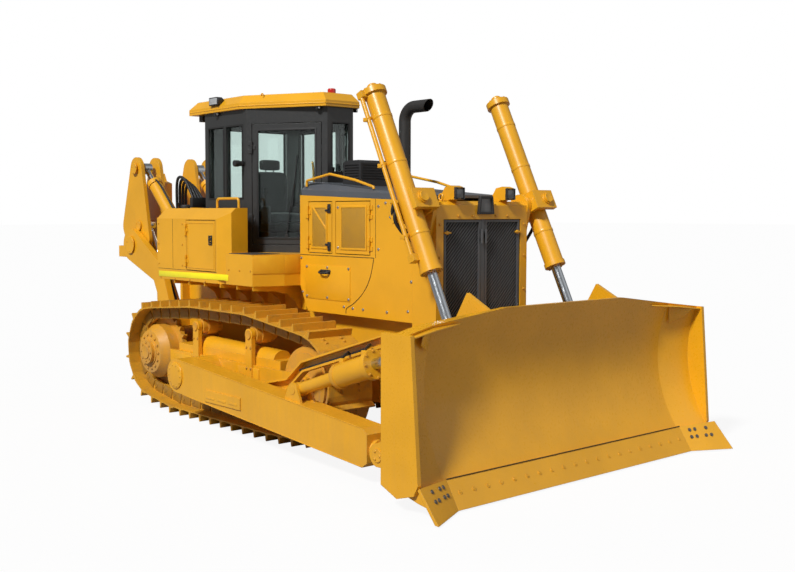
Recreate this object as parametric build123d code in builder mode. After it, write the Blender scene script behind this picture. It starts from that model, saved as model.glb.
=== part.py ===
from build123d import *
from math import atan2, cos, hypot, pi, sin, sqrt
import os

os.makedirs("parts", exist_ok=True)

# Track-type bulldozer with a raised single-shank ripper. Millimetres.
# X runs forward, Y to the machine's left, Z up. The origin is on the ground,
# under the middle of the overall length, on the centre plane.

# Clearances
seat = 0.3            # between pieces that rest on each other
running_fit = 0.05    # radial, at pins and journals
clearance = 10        # between pieces that pass each other

# Door hinges
hinge_knuckle_radius, hinge_knuckle_height, hinge_pin_radius = 14, 45, 6
hinge_offset = hinge_knuckle_radius + seat
hinge_leaf, hinge_leaf_thickness = 40, 8
door_gap = 8

# Overall
half_length = 4117    # ripper link to end bit tips, halved

# Tracks
track_centre_y = 1070
shoe_width = 560
chain_pitch_nominal = 228.6
pitch_radius = 460
shoe_inner_height = 80
shoe_height = 96
shoe_edge_height = 90
grouser_height = 170
rail_depth = 58
rail_inner_offset = 75
rail_outer_offset = 125
sprocket_x, sprocket_z = -1857, 700
idler_x, idler_z = 1233, 655
roller_radius = 115
roller_count = 7
roller_rear_x, roller_front_x = -1365, 730
carrier_radius = 90
carrier_xs = (-877, 243)
carrier_z = 1092

# Frame
frame_half_width = 480
frame_bottom_z, frame_top_z = 430, 1330
frame_front_x, frame_rear_x = 2235, -2330
case_front_x, case_top_z = -1250, 1660

# Push arms, trunnion and blade joints
arm_y = 1620
arm_half_width = 120
trunnion_x, trunnion_z = -517, 600
trunnion_radius = 110
trunnion_eye_radius = 190
ball_x, ball_z = 2990, 320
ball_eye_radius = 115
ball_eye_half = 60
ball_radius, ball_pin_radius = 85, 45
ball_lug_radius = 105
tilt_pin_x, tilt_pin_z = 1678, 715
tilt_lug_x, tilt_lug_z = 3290, 1250
eye_half = 55
lift_y = 890
lift_pin_x, lift_pin_z = 3204, 950
yoke_x, yoke_z = 2464, 2500

# Blade
blade_half_width = 1670
wing_half_width = 2035
wing_forward = 118
side_plate_outer_y = 2075
edge_top_z, edge_top_x = 245, 3759
edge_bottom_z, edge_bottom_x = 16, 3907
edge_thickness = 32
mouldboard_mid_x, mouldboard_mid_z = 3490, 905
mouldboard_top_x, mouldboard_top_z = 3656, 1610
# the lugs' roots end behind the mouldboard's face
lug_root_x = mouldboard_mid_x - 68
top_bend_y = 840
end_bit_tip_y = 2100

# Cab, roof and platform
cab_front_x, cab_front_half = 293, 190
cab_bend_x, cab_half_width = -570, 735
cab_rear_x = -1485
cab_wall = 70
roof_bottom_z, roof_edge_top_z, roof_top_z = 3655, 3725, 3820
cab_top_z = roof_bottom_z - seat
platform_top_z, platform_bottom_z = 1970, 1620
cab_floor_z = platform_top_z + seat
platform_front_x = 353
fender_outer_y = 1200
hood_half_width = 630
panel_thickness = 40
hood_rear_x = platform_front_x + seat

# Radiator guard and grille
guard_half_width = 652
guard_front_x = 2573
guard_top_z, guard_bottom_z = 2550, 620
grille_half_width = 554
grille_top_z, grille_bottom_z = 2370, 1250
grille_thickness = 60

# Ripper
link_pin_x, link_pin_z = -2500, 1000
beam_pin_x, beam_pin_z = -3553, 1985
upright_pin_x, upright_pin_z = -3567, 3055
lift_eye_x, lift_eye_z = -3490, 2255
ripper_lift_base_x, ripper_lift_base_z = -2480, 600
cylinder_lane_y = 430
fork_gap_half = 120
fork_plate = 50
link_arm_inner_y, link_arm_outer_y = 612, 700
shank_half_thickness = 45

y_track_inner = track_centre_y - shoe_width / 2
y_track_outer = track_centre_y + shoe_width / 2


def side_face(points, y_high):
    """Closed outline in the X-Z plane, drawn on the plane at y_high and facing -Y."""
    with BuildSketch(Plane.XZ.offset(-y_high)) as outline:
        with BuildLine():
            Polyline(*points, close=True)
        make_face()
    return outline.sketch


def plate_xz(points, y_low, y_high, mode=Mode.ADD):
    """Plate between y_low and y_high with an outline in the X-Z plane."""
    extrude(side_face(points, y_high), amount=y_high - y_low, mode=mode)


def hull_xz(circles, y_low, y_high, mode=Mode.ADD):
    """Plate whose outline wraps round circles given as (x, z, radius)."""
    with BuildSketch(Plane.XZ.offset(-y_high)) as outline:
        for x, z, radius in circles:
            with Locations((x, z)):
                Circle(radius)
        make_hull()
    extrude(outline.sketch, amount=y_high - y_low, mode=mode)


def plate_xy(points, z_low, z_high, mode=Mode.ADD):
    """Plate between z_low and z_high with an outline in plan."""
    with BuildSketch(Plane.XY.offset(z_low)) as outline:
        with BuildLine():
            Polyline(*points, close=True)
        make_face()
    extrude(outline.sketch, amount=z_high - z_low, mode=mode)


def block(x_low, x_high, y_low, y_high, z_low, z_high, mode=Mode.ADD):
    """Box given by its limits."""
    with Locations(((x_low + x_high) / 2, (y_low + y_high) / 2, (z_low + z_high) / 2)):
        Box(x_high - x_low, y_high - y_low, z_high - z_low, mode=mode)


def pin_y(x, z, radius, y_low, y_high, mode=Mode.ADD):
    """Cylinder along Y."""
    with Locations((x, (y_low + y_high) / 2, z)):
        Cylinder(radius, y_high - y_low, rotation=(90, 0, 0), mode=mode)


def bar(start, end, radius, mode=Mode.ADD):
    """Round bar between two points."""
    direction = Vector(*end) - Vector(*start)
    with Locations(Plane(origin=start, z_dir=direction)):
        Cylinder(radius, direction.length, align=(Align.CENTER, Align.CENTER, Align.MIN), mode=mode)


def pipe(points, radius, bend):
    """Round tube that follows points, with rounded bends."""
    with BuildLine() as path:
        FilletPolyline(*points, radius=bend)
    start = path.line @ 0
    with BuildSketch(Plane(origin=start, z_dir=path.line % 0)) as section:
        Circle(radius)
    sweep(section.sketch, path=path.line)


def between(y_a, y_b):
    """The two limits in rising order, for a piece on either side."""
    return min(y_a, y_b), max(y_a, y_b)


def add_hinge(corner, along, out, heights, fixed):
    """Half of a door's hinges: knuckles at the heights, off the face that meets the corner.

    corner is the door's hinge edge in plan, along the direction from it across the door,
    and out is 1 where outward lies to the left of that direction, else -1.
    """
    for z in heights:
        with Locations(Plane(origin=(*corner, z), x_dir=(*along, 0), z_dir=(0, 0, 1))):
            side = -1 if fixed else 1
            for shift in ((-1, 1) if fixed else (0,)):
                height = hinge_knuckle_height
                with Locations((0, out * hinge_offset, shift * (height + 2))):
                    Cylinder(hinge_knuckle_radius, height)
                leaf_x = side * (hinge_leaf + door_gap) / 2
                with Locations((leaf_x, out * (hinge_leaf_thickness - 1) / 2, shift * (height + 2))):
                    Box(hinge_leaf, hinge_leaf_thickness + 1, height)
                web_y = out * (hinge_leaf_thickness + 1) / 2
                with Locations((side * hinge_knuckle_radius / 2, web_y, shift * (height + 2))):
                    Box(hinge_knuckle_radius, hinge_leaf_thickness - 1, height)
            with Locations((0, out * hinge_offset, 0)):
                if fixed:
                    Cylinder(hinge_pin_radius, 3 * hinge_knuckle_height)
                else:
                    Cylinder(hinge_pin_radius + running_fit, 3 * hinge_knuckle_height, mode=Mode.SUBTRACT)


def save(part, label):
    part.label = label
    export_step(part, f"parts/{label}.step")


# Track path: a belt round the wheels, at the height of the chain's pins.
track_circles = [
    (roller_rear_x, roller_radius + grouser_height + rail_depth, roller_radius + rail_depth),
    (roller_front_x, roller_radius + grouser_height + rail_depth, roller_radius + rail_depth),
    (idler_x, idler_z, pitch_radius),
    (carrier_xs[1], carrier_z, carrier_radius + rail_depth),
    (carrier_xs[0], carrier_z, carrier_radius + rail_depth),
    (sprocket_x, sprocket_z, pitch_radius),
]


def belt_segments(circles):
    """Lines and arcs of a belt that runs anticlockwise round the circles."""
    normals = []
    for (x1, z1, r1), (x2, z2, r2) in zip(circles, circles[1:] + circles[:1]):
        length = hypot(x2 - x1, z2 - z1)
        ux, uz = (x2 - x1) / length, (z2 - z1) / length
        lean = (r1 - r2) / length
        across = sqrt(1 - lean * lean)
        normals.append((ux * lean + uz * across, uz * lean - ux * across))
    segments = []
    for index, (x, z, r) in enumerate(circles):
        arriving, leaving = normals[index - 1], normals[index]
        start = atan2(arriving[1], arriving[0])
        turn = (atan2(leaving[1], leaving[0]) - start) % (2 * pi)
        segments.append(("arc", (x, z, r), start, turn * r))
        x2, z2, r2 = circles[(index + 1) % len(circles)]
        begin = (x + r * leaving[0], z + r * leaving[1])
        end = (x2 + r2 * leaving[0], z2 + r2 * leaving[1])
        segments.append(("line", begin, leaving, hypot(end[0] - begin[0], end[1] - begin[1])))
    return segments


track_segments = belt_segments(track_circles)
track_length = sum(segment[3] for segment in track_segments)
shoe_count = round(track_length / chain_pitch_nominal)
chain_pitch = track_length / shoe_count


def belt_point(distance, along, height):
    """Point at a distance round the belt, then along the shoe and out from it."""
    distance = distance % track_length
    for kind, base, direction, length in track_segments:
        if distance <= length:
            break
        distance -= length
    if kind == "arc":
        x, z, r = base
        angle = direction + distance / r
        nx, nz = cos(angle), sin(angle)
        px, pz = x + r * nx, z + r * nz
    else:
        nx, nz = direction
        px, pz = base[0] - nz * distance, base[1] + nx * distance
    return px - nz * along + nx * height, pz + nx * along + nz * height


shoe_outline = [
    (-0.5, shoe_edge_height),
    (0.10, shoe_height),
    (0.16, grouser_height),
    (0.24, grouser_height),
    (0.30, shoe_height),
    (0.47, shoe_height),
]
outer_track = [
    belt_point(index * chain_pitch, share * chain_pitch, height)
    for index in range(shoe_count)
    for share, height in shoe_outline
]
inner_track = [
    belt_point((index + half) * chain_pitch, 0, shoe_inner_height)
    for index in range(shoe_count)
    for half in (0, 0.5)
]
scallop_depth = 18
rail_inner = [
    belt_point((index + share) * chain_pitch, 0, -depth)
    for index in range(shoe_count)
    for share, depth in ((0, rail_depth - scallop_depth), (0.28, rail_depth), (0.72, rail_depth))
]
rail_outer = [
    belt_point((index + 0.5) * chain_pitch, 0, (shoe_inner_height + shoe_edge_height) / 2)
    for index in range(shoe_count)
]


def seated_radius(x, z, outline):
    """Largest wheel at (x, z) that clears the outline by the seat."""
    nearest = half_length
    for (x1, z1), (x2, z2) in zip(outline, outline[1:] + outline[:1]):
        length_squared = (x2 - x1) ** 2 + (z2 - z1) ** 2
        share = ((x - x1) * (x2 - x1) + (z - z1) * (z2 - z1)) / length_squared
        share = min(1, max(0, share))
        nearest = min(nearest, hypot(x1 + share * (x2 - x1) - x, z1 + share * (z2 - z1) - z))
    return nearest - seat


roller_z = grouser_height + rail_depth + roller_radius
roller_pitch = (roller_front_x - roller_rear_x) / (roller_count - 1)
roller_xs = [roller_rear_x + index * roller_pitch for index in range(roller_count)]
idler_tread_radius = seated_radius(idler_x, idler_z, rail_inner)


def build_track(side):
    """Shoes and chain as one closed loop."""
    y_low, y_high = between(side * y_track_inner, side * y_track_outer)
    with BuildPart() as track:
        plate_xz(outer_track, y_low, y_high)
        plate_xz(inner_track, y_low, y_high, mode=Mode.SUBTRACT)
        for offset in (-1, 1):
            rail_y = side * track_centre_y + offset * (rail_inner_offset + rail_outer_offset) / 2
            half = (rail_outer_offset - rail_inner_offset) / 2
            with BuildSketch(Plane.XZ.offset(-rail_y - half)) as rail:
                with BuildLine():
                    Polyline(*rail_outer, close=True)
                make_face()
                with BuildLine():
                    Polyline(*rail_inner, close=True)
                make_face(mode=Mode.SUBTRACT)
            extrude(rail.sketch, amount=2 * half)
    return track.part


save(build_track(1), "track_left")
save(build_track(-1), "track_right")

# Rollers, idlers and sprockets
frame_plate_inner_dy = 135
axle_radius = 35
flange_half = rail_inner_offset - clearance
with BuildPart() as rollers:
    for side in (-1, 1):
        centre = side * track_centre_y
        end = frame_plate_inner_dy - seat
        for x in roller_xs:
            radius = seated_radius(x, roller_z, rail_inner)
            pin_y(x, roller_z, radius, centre - end + 5, centre + end - 5)
            pin_y(x, roller_z, radius + 8, centre - flange_half, centre + flange_half)
            pin_y(x, roller_z, axle_radius, centre - end, centre + end)
        for x in carrier_xs:
            radius = seated_radius(x, carrier_z, rail_inner)
            pin_y(x, carrier_z, radius, centre - end + 5, centre + end - 5)
            pin_y(x, carrier_z, radius + 15, centre - flange_half, centre + flange_half)
            pin_y(x, carrier_z, axle_radius, centre - end, centre + end)
save(rollers.part, "track_rollers")

idler_half_width = 160
idler_disc_radius = 335
with BuildPart() as idlers:
    for side in (-1, 1):
        centre = side * track_centre_y
        pin_y(idler_x, idler_z, idler_tread_radius, centre - 130, centre + 130)
        pin_y(idler_x, idler_z, idler_tread_radius + 22, centre - flange_half, centre + flange_half)
        pin_y(idler_x, idler_z, idler_disc_radius, centre - idler_half_width, centre + idler_half_width)
save(idlers.part, "idlers")

sprocket_half_thickness = 30
tooth_count = 25
tooth_root_radius = 424
tooth_tip_radius = 470
final_drive_radius = 335
with BuildPart() as sprockets:
    for side in (-1, 1):
        centre = side * track_centre_y
        with BuildSketch(Plane.XZ.offset(-centre - sprocket_half_thickness)) as toothed:
            with Locations((sprocket_x, sprocket_z)):
                Circle(tooth_root_radius)
                with PolarLocations(tooth_root_radius - 10, tooth_count):
                    Trapezoid(62, tooth_tip_radius - tooth_root_radius + 10, 68, rotation=-90,
                              align=(Align.CENTER, Align.MIN))
        extrude(toothed.sketch, amount=2 * sprocket_half_thickness)
        inner = between(side * (frame_half_width + seat), centre)
        pin_y(sprocket_x, sprocket_z, 290, *inner)
        with BuildSketch(Plane(origin=(sprocket_x, 0, sprocket_z), x_dir=(1, 0, 0), z_dir=(0, 0, 1))) as drum:
            with BuildLine():
                Polyline((0, centre), (final_drive_radius, centre), (final_drive_radius, side * 1235),
                         (265, side * 1335), (150, side * 1345), (150, side * 1395), (0, side * 1395),
                         close=True)
            make_face()
        revolve(drum.sketch, axis=Axis((sprocket_x, 0, sprocket_z), (0, 1, 0)))
save(sprockets.part, "sprockets")

# Track frames
plate_thickness = 35
frame_box_top_z = 850
with BuildPart() as track_frames:
    for side in (-1, 1):
        centre = side * track_centre_y
        block(-1370, 760, centre - 130, centre + 130, 480, frame_box_top_z)
        for offset in (-1, 1):
            near = centre + offset * frame_plate_inner_dy
            far = centre + offset * (frame_plate_inner_dy + plate_thickness)
            plate_xz([(-1520, 300), (700, 300), (760, 480), (760, 760), (-1520, 760)],
                     *between(near, far))
            near = centre + offset * (idler_half_width + seat)
            far = centre + offset * (idler_half_width + seat + plate_thickness)
            hull_xz([(idler_x, idler_z, 130), (700, 620, 140)], *between(near, far))
        for x in carrier_xs:
            post = between(side * 1210, side * 1262)
            block(x - 60, x + 60, *post, 560, carrier_z)
            pin_y(x, carrier_z, 70, *post)
        bar((-1000, centre, frame_box_top_z), (620, centre, frame_box_top_z - 30), 125)
        trunnion = between(side * 1215, side * (arm_y + arm_half_width - 40) - side * seat)
        pin_y(trunnion_x, trunnion_z, trunnion_radius, *trunnion)
        pin_y(trunnion_x, trunnion_z, 190, *between(side * 1200, side * 1470))
        pivot = between(side * (frame_half_width + seat), side * 1000)
        pin_y(-700, 640, 110, *pivot)
save(track_frames.part, "track_frames")

# Main frame with rear case
with BuildPart() as main_frame:
    plate_xz([(frame_rear_x, frame_bottom_z + 60), (frame_rear_x + 250, frame_bottom_z),
              (frame_front_x - 300, frame_bottom_z), (frame_front_x, frame_bottom_z + 190),
              (frame_front_x, frame_top_z), (case_front_x, frame_top_z), (case_front_x, case_top_z),
              (frame_rear_x, case_top_z)], -frame_half_width, frame_half_width)
save(main_frame.part, "main_frame")

# Engine and radiator
stack_x, stack_y, stack_radius = 1403, 0, 65
engine_top_z = 2480
with BuildPart() as engine:
    block(620, 1950, -400, 400, frame_top_z + seat, engine_top_z)
save(engine.part, "engine_block")

with BuildPart() as radiator:
    block(frame_front_x + 25, guard_front_x - 170, -grille_half_width + seat, grille_half_width - seat,
          980 + seat, 2420 - seat)
save(radiator.part, "radiator_core")

# Radiator guard: frame round the grille, with the horns that carry the lift cylinders
horn_outer_y = 700
yoke_pin_radius = 60
with BuildPart() as radiator_guard:
    plate_xz([(frame_front_x + seat, guard_bottom_z), (guard_front_x, guard_bottom_z + 130),
              (guard_front_x, guard_top_z - 40), (guard_front_x - 60, guard_top_z),
              (frame_front_x + seat, guard_top_z)], -guard_half_width, guard_half_width)
    block(frame_front_x, guard_front_x + 1, -grille_half_width, grille_half_width,
          grille_bottom_z, grille_top_z, mode=Mode.SUBTRACT)
    block(frame_front_x, guard_front_x - 165, -grille_half_width, grille_half_width,
          980, 2420, mode=Mode.SUBTRACT)
    for side in (-1, 1):
        limits = between(side * (guard_half_width - 5), side * horn_outer_y)
        hull_xz([(yoke_x, yoke_z, 125), (2400, 2100, 90)], *limits)
        pin_y(yoke_x, yoke_z, yoke_pin_radius + running_fit,
              *between(side * (guard_half_width - 40), side * (horn_outer_y + 5)), mode=Mode.SUBTRACT)
save(radiator_guard.part, "radiator_guard")

# Grille leaves, hinged at the centre post
post_half = 24
leaf_back_x, leaf_front_x = guard_front_x - grille_thickness, guard_front_x - 5
grille_hinge_heights = (1420, 2200)
grille_rim = 28
slat_pitch, slat_thickness = 29, 12
for side, label in ((-1, "grille_right"), (1, "grille_left")):
    with BuildPart() as leaf:
        inner_y, outer_y = side * (post_half + 6), side * (grille_half_width - 12)
        low, high = between(inner_y, outer_y)
        block(leaf_back_x, leaf_front_x, low, high, grille_bottom_z + 6, grille_top_z - 6)
        opening_width = high - low - 2 * grille_rim
        opening_height = grille_top_z - grille_bottom_z - 2 * grille_rim
        block(leaf_back_x - 1, guard_front_x, low + grille_rim, high - grille_rim,
              grille_bottom_z + grille_rim, grille_top_z - grille_rim, mode=Mode.SUBTRACT)
        with BuildSketch(Plane.YZ.offset(leaf_back_x + 15)) as slats:
            with Locations(((low + high) / 2, (grille_bottom_z + grille_top_z) / 2)):
                Rectangle(opening_width + 4, opening_height + 4)
                slots = int((opening_width + opening_height) / slat_pitch / sqrt(2)) + 1
                with GridLocations(slat_pitch * sqrt(2), 1, slots, 1):
                    Rectangle(slat_pitch - slat_thickness, 2 * opening_height, rotation=-45,
                              mode=Mode.SUBTRACT)
        extrude(slats.sketch, amount=grille_thickness - 35)
        hinge_corner = (leaf_front_x, side * (post_half + 3))
        add_hinge(hinge_corner, (0, side), -side, grille_hinge_heights, False)
    save(leaf.part, label)

with BuildPart() as grille_post:
    block(leaf_back_x, leaf_front_x, -post_half, post_half, grille_bottom_z + seat, grille_top_z - seat)
    for side in (-1, 1):
        hinge_corner = (leaf_front_x, side * (post_half + 3))
        add_hinge(hinge_corner, (0, side), -side, grille_hinge_heights, True)
save(grille_post.part, "grille_post")

# Hood
hood_side_top_rear_z, hood_side_top_front_z = 2632, 2556
hood_rise, hood_shoulder, hood_slope = 150, 60, 110
hood_relief_y = 470
hood_rear_z, hood_front_z = hood_side_top_rear_z + hood_rise, hood_side_top_front_z + hood_shoulder
side_bottom_z = 1500


def hood_top_z(x):
    """Height of the side panels' top edge, just under the hood."""
    share = (x - hood_rear_x) / (frame_front_x - hood_rear_x)
    return hood_side_top_rear_z + share * (hood_side_top_front_z - hood_side_top_rear_z) - seat


def hood_surface_z(x, y):
    """Height of the hood's outside at a point of its shoulder or its flat top."""
    share = (x - hood_rear_x) / (frame_front_x - hood_rear_x)
    top_z = hood_rear_z + share * (hood_front_z - hood_rear_z)
    shoulder_z = hood_top_z(x) + seat + hood_shoulder
    rise_across = (hood_half_width - abs(y)) * (hood_rise - hood_shoulder) / hood_slope
    return min(top_z, shoulder_z + rise_across)


def hood_prism(inset):
    """Hood's body, drawn in by the inset: a section run down its slope, cut off by its flat top."""
    half, base_z = hood_half_width - inset, hood_side_top_rear_z
    shoulder_z, roof_z = base_z + hood_shoulder - inset / 2, base_z + hood_rise - inset
    flat_half = half - hood_slope + inset / 2
    run = (frame_front_x - hood_rear_x, 0, hood_side_top_front_z - hood_side_top_rear_z)
    with BuildPart() as prism:
        with BuildSketch(Plane(origin=(hood_rear_x, 0, 0), x_dir=(0, 1, 0), z_dir=(1, 0, 0))) as section:
            with BuildLine():
                Polyline((-half, base_z - inset), (-half, shoulder_z), (-flat_half, roof_z),
                         (flat_half, roof_z), (half, shoulder_z), (half, base_z - inset), close=True)
            make_face()
        extrude(section.sketch, amount=Vector(*run).length, dir=run)
        plate_xz([(hood_rear_x, hood_rear_z - inset), (frame_front_x, hood_front_z - inset),
                  (frame_front_x + 1, hood_rear_z + 1), (hood_rear_x, hood_rear_z + 1)],
                 -hood_half_width - 1, hood_half_width + 1, mode=Mode.SUBTRACT)
    return prism.part


with BuildPart() as hood:
    add(hood_prism(0))
    add(hood_prism(30), mode=Mode.SUBTRACT)
    with Locations((stack_x, stack_y, 2700)):
        Cylinder(stack_radius + 6, 400, mode=Mode.SUBTRACT)
    # rear corners cut back from the path of the cab doors
    for side in (-1, 1):
        plate_xy([(hood_rear_x - 1, side * hood_relief_y), (hood_rear_x + 29, side * (hood_half_width + 10)),
                  (hood_rear_x - 1, side * (hood_half_width + 10))],
                 hood_side_top_rear_z - 100, hood_rear_z + 10, mode=Mode.SUBTRACT)
save(hood.part, "hood")

door_bottom_z = 1990
hood_hinge_heights = (2110, 2440)
rear_door = (508, 933)
front_door = (989, 1570)


door_top_z = 2560


def hood_door_corners(side):
    """Hinge corners in plan of the rear and the front door."""
    return ((rear_door[0] + door_gap / 2, side * hood_half_width),
            (front_door[1] - door_gap / 2, side * hood_half_width))


for side, label in ((-1, "side_panel_right"), (1, "side_panel_left")):
    with BuildPart() as side_panel:
        limits = between(side * (hood_half_width - panel_thickness), side * hood_half_width)
        plate_xz([(hood_rear_x, platform_bottom_z), (hood_rear_x + 140, side_bottom_z - 160),
                  (frame_front_x, side_bottom_z - 160), (frame_front_x, hood_top_z(frame_front_x)),
                  (hood_rear_x, hood_top_z(hood_rear_x))], *limits)
        wide = between(side * (hood_half_width - panel_thickness - 5), side * (hood_half_width + 5))
        for low_x, high_x in (rear_door, front_door):
            block(low_x, high_x, *wide, door_bottom_z, door_top_z, mode=Mode.SUBTRACT)
        rear_corner, front_corner = hood_door_corners(side)
        add_hinge(rear_corner, (1, 0), side, hood_hinge_heights, True)
        add_hinge(front_corner, (-1, 0), -side, hood_hinge_heights, True)
    save(side_panel.part, label)

for side, side_name in ((-1, "right"), (1, "left")):
    for (low_x, high_x), place in ((rear_door, "rear"), (front_door, "front")):
        with BuildPart() as hood_door:
            limits = between(side * (hood_half_width - panel_thickness), side * hood_half_width)
            block(low_x + door_gap, high_x - door_gap, *limits,
                  door_bottom_z + door_gap, door_top_z - door_gap)
            if place == "rear":
                add_hinge(hood_door_corners(side)[0], (1, 0), side, hood_hinge_heights, False)
            else:
                add_hinge(hood_door_corners(side)[1], (-1, 0), -side, hood_hinge_heights, False)
        save(hood_door.part, f"hood_door_{place}_{side_name}")

# Exhaust with its bent, slanted mouth, and the louvred box behind it
stack_top_z, stack_reach, mouth_slant = 3562, 400, 70
with BuildPart() as exhaust_stack:
    pipe([(stack_x, stack_y, engine_top_z + seat), (stack_x, stack_y, stack_top_z),
          (stack_x + stack_reach, stack_y, stack_top_z)], stack_radius, 150)
    with Locations((stack_x, stack_y, hood_surface_z(stack_x, 0) + 35)):
        Cylinder(stack_radius + 42, 25)
    bar((stack_x + 200, stack_y, stack_top_z), (stack_x + stack_reach + 1, stack_y, stack_top_z),
        stack_radius - 6, mode=Mode.SUBTRACT)
    reach_end = stack_x + stack_reach + 1
    plate_xz([(reach_end, stack_top_z + stack_radius + 5), (reach_end, stack_top_z - stack_radius - 5),
              (reach_end - mouth_slant, stack_top_z - stack_radius - 5)], -100, 100, mode=Mode.SUBTRACT)
save(exhaust_stack.part, "exhaust_stack")

intake_rear_x, intake_front_x, intake_right_y, intake_left_y, intake_top_z = 590, 900, -200, 290, 3020
with BuildPart() as intake_box:
    plate_xz([(intake_rear_x, hood_surface_z(intake_rear_x, 0) + seat),
              (intake_front_x, hood_surface_z(intake_front_x, 0) + seat),
              (intake_front_x, intake_top_z - 30), (intake_front_x - 30, intake_top_z),
              (intake_rear_x + 30, intake_top_z), (intake_rear_x, intake_top_z - 30)],
             intake_right_y, intake_left_y)
    for level in range(6):
        z = intake_top_z - 60 - level * 30
        block(intake_front_x - 12, intake_front_x + 1, intake_right_y + 30, intake_left_y - 30,
              z - 8, z + 8, mode=Mode.SUBTRACT)
        for wall_y, inward in ((intake_right_y, 1), (intake_left_y, -1)):
            block(intake_rear_x + 30, intake_front_x - 30,
                  *between(wall_y - inward, wall_y + inward * 12), z - 8, z + 8, mode=Mode.SUBTRACT)
save(intake_box.part, "intake_box")

# Platform with fenders, and the boxes beside the cab
box_front_x, box_rear_x = -300, -1889
box_inner_y = 900
box_bottom_z, box_side_top_z, box_top_z = 1615, 2364, 2490
box_chamfer_x, box_chamfer_y = -491, 1120
box_slope_y = 1060
platform_rear_x = -1620
platform_wall_y = 500
with BuildPart() as platform:
    outline = [(platform_rear_x, box_inner_y - seat), (box_front_x + seat, box_inner_y - seat),
               (box_front_x + seat, fender_outer_y), (236, fender_outer_y), (platform_front_x, 849)]
    plate_xy(outline + [(x, -y) for x, y in reversed(outline)], platform_bottom_z, platform_top_z)
    block(platform_rear_x - 5, case_front_x + 5, -frame_half_width - 5, frame_half_width + 5,
          platform_bottom_z - 5, case_top_z + seat, mode=Mode.SUBTRACT)
    for side in (-1, 1):
        block(platform_rear_x + 15, platform_front_x - 20,
              *between(side * platform_wall_y, side * (platform_wall_y + 30)),
              frame_top_z + 5, platform_bottom_z + 5)
        # gusset arches that reach out over the track
        for x in (-1500, -1150, -800, -450, -100, 220):
            under_box = x < box_front_x
            outer_top_z = box_bottom_z - seat if under_box else platform_bottom_z + 5
            with BuildSketch(Plane.YZ.offset(x)) as gusset:
                with BuildLine():
                    Polyline((side * platform_wall_y, platform_bottom_z + 5),
                             (side * platform_wall_y, frame_top_z + 5),
                             (side * (platform_wall_y + 60), frame_top_z + 5),
                             (side * (platform_wall_y + 110), frame_top_z + 100),
                             (side * 720, frame_top_z + 180), (side * 900, frame_top_z + 225),
                             (side * (fender_outer_y - 10), frame_top_z + 240),
                             (side * (fender_outer_y - 10), outer_top_z),
                             (side * (box_inner_y - seat), outer_top_z),
                             (side * (box_inner_y - seat), platform_bottom_z + 6), close=True)
                make_face()
            extrude(gusset.sketch, amount=16)
save(platform.part, "platform")

box_door_rear_x, box_door_front_x = -1180, -520
box_door_bottom_z, box_door_top_z = 1745, 2350
box_door_depth = 40
box_hinge_heights = (1860, 2230)
for side, side_name in ((-1, "right"), (1, "left")):
    with BuildPart() as side_box:
        with BuildSketch(Plane.YZ.offset(box_rear_x)) as section:
            with BuildLine():
                Polyline((side * box_inner_y, box_bottom_z), (side * fender_outer_y, box_bottom_z),
                         (side * fender_outer_y, box_side_top_z), (side * box_slope_y, box_top_z),
                         (side * box_inner_y, box_top_z), close=True)
            make_face()
        extrude(section.sketch, amount=box_front_x - box_rear_x)
        plate_xy([(box_chamfer_x, side * fender_outer_y), (box_front_x + 5, side * box_chamfer_y),
                  (box_front_x + 5, side * (fender_outer_y + 5)),
                  (box_chamfer_x, side * (fender_outer_y + 5))],
                 box_bottom_z - 5, box_top_z + 5, mode=Mode.SUBTRACT)
        block(box_door_rear_x, box_door_front_x,
              *between(side * (fender_outer_y - box_door_depth), side * (fender_outer_y + 5)),
              box_door_bottom_z, box_door_top_z, mode=Mode.SUBTRACT)
        box_corner = (box_door_rear_x + door_gap / 2, side * fender_outer_y)
        add_hinge(box_corner, (1, 0), side, box_hinge_heights, True)
    save(side_box.part, f"side_box_{side_name}")
    with BuildPart() as box_door:
        block(box_door_rear_x + door_gap, box_door_front_x - door_gap,
              *between(side * (fender_outer_y - box_door_depth + seat), side * fender_outer_y),
              box_door_bottom_z + door_gap, box_door_top_z - door_gap)
        add_hinge(box_corner, (1, 0), side, box_hinge_heights, False)
    save(box_door.part, f"box_door_{side_name}")

# Cab
def cab_plan(inset):
    """Half-hexagon plan of the cab, drawn in by the inset."""
    return [(cab_rear_x + inset, -cab_half_width + inset), (cab_bend_x, -cab_half_width + inset),
            (cab_front_x - inset, -cab_front_half + inset * 0.4),
            (cab_front_x - inset, cab_front_half - inset * 0.4),
            (cab_bend_x, cab_half_width - inset), (cab_rear_x + inset, cab_half_width - inset)]


slant_x, slant_y = cab_front_x - cab_bend_x, cab_half_width - cab_front_half
slant_length = hypot(slant_x, slant_y)
door_start, door_end = 0.07, 0.93     # shares of the slanted wall, from the front corner
door_low_z, door_high_z = 2060, 3480


def slant_point(share, side, outward=0):
    """Point on the slanted wall's outer face, moved outward."""
    x = cab_front_x - share * slant_x
    y = cab_front_half + share * slant_y
    return x + outward * slant_y / slant_length, side * (y + outward * slant_x / slant_length)


def slant_along(side):
    """Direction along the slanted wall, from its rear corner forward."""
    return slant_x / slant_length, -side * slant_y / slant_length


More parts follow.
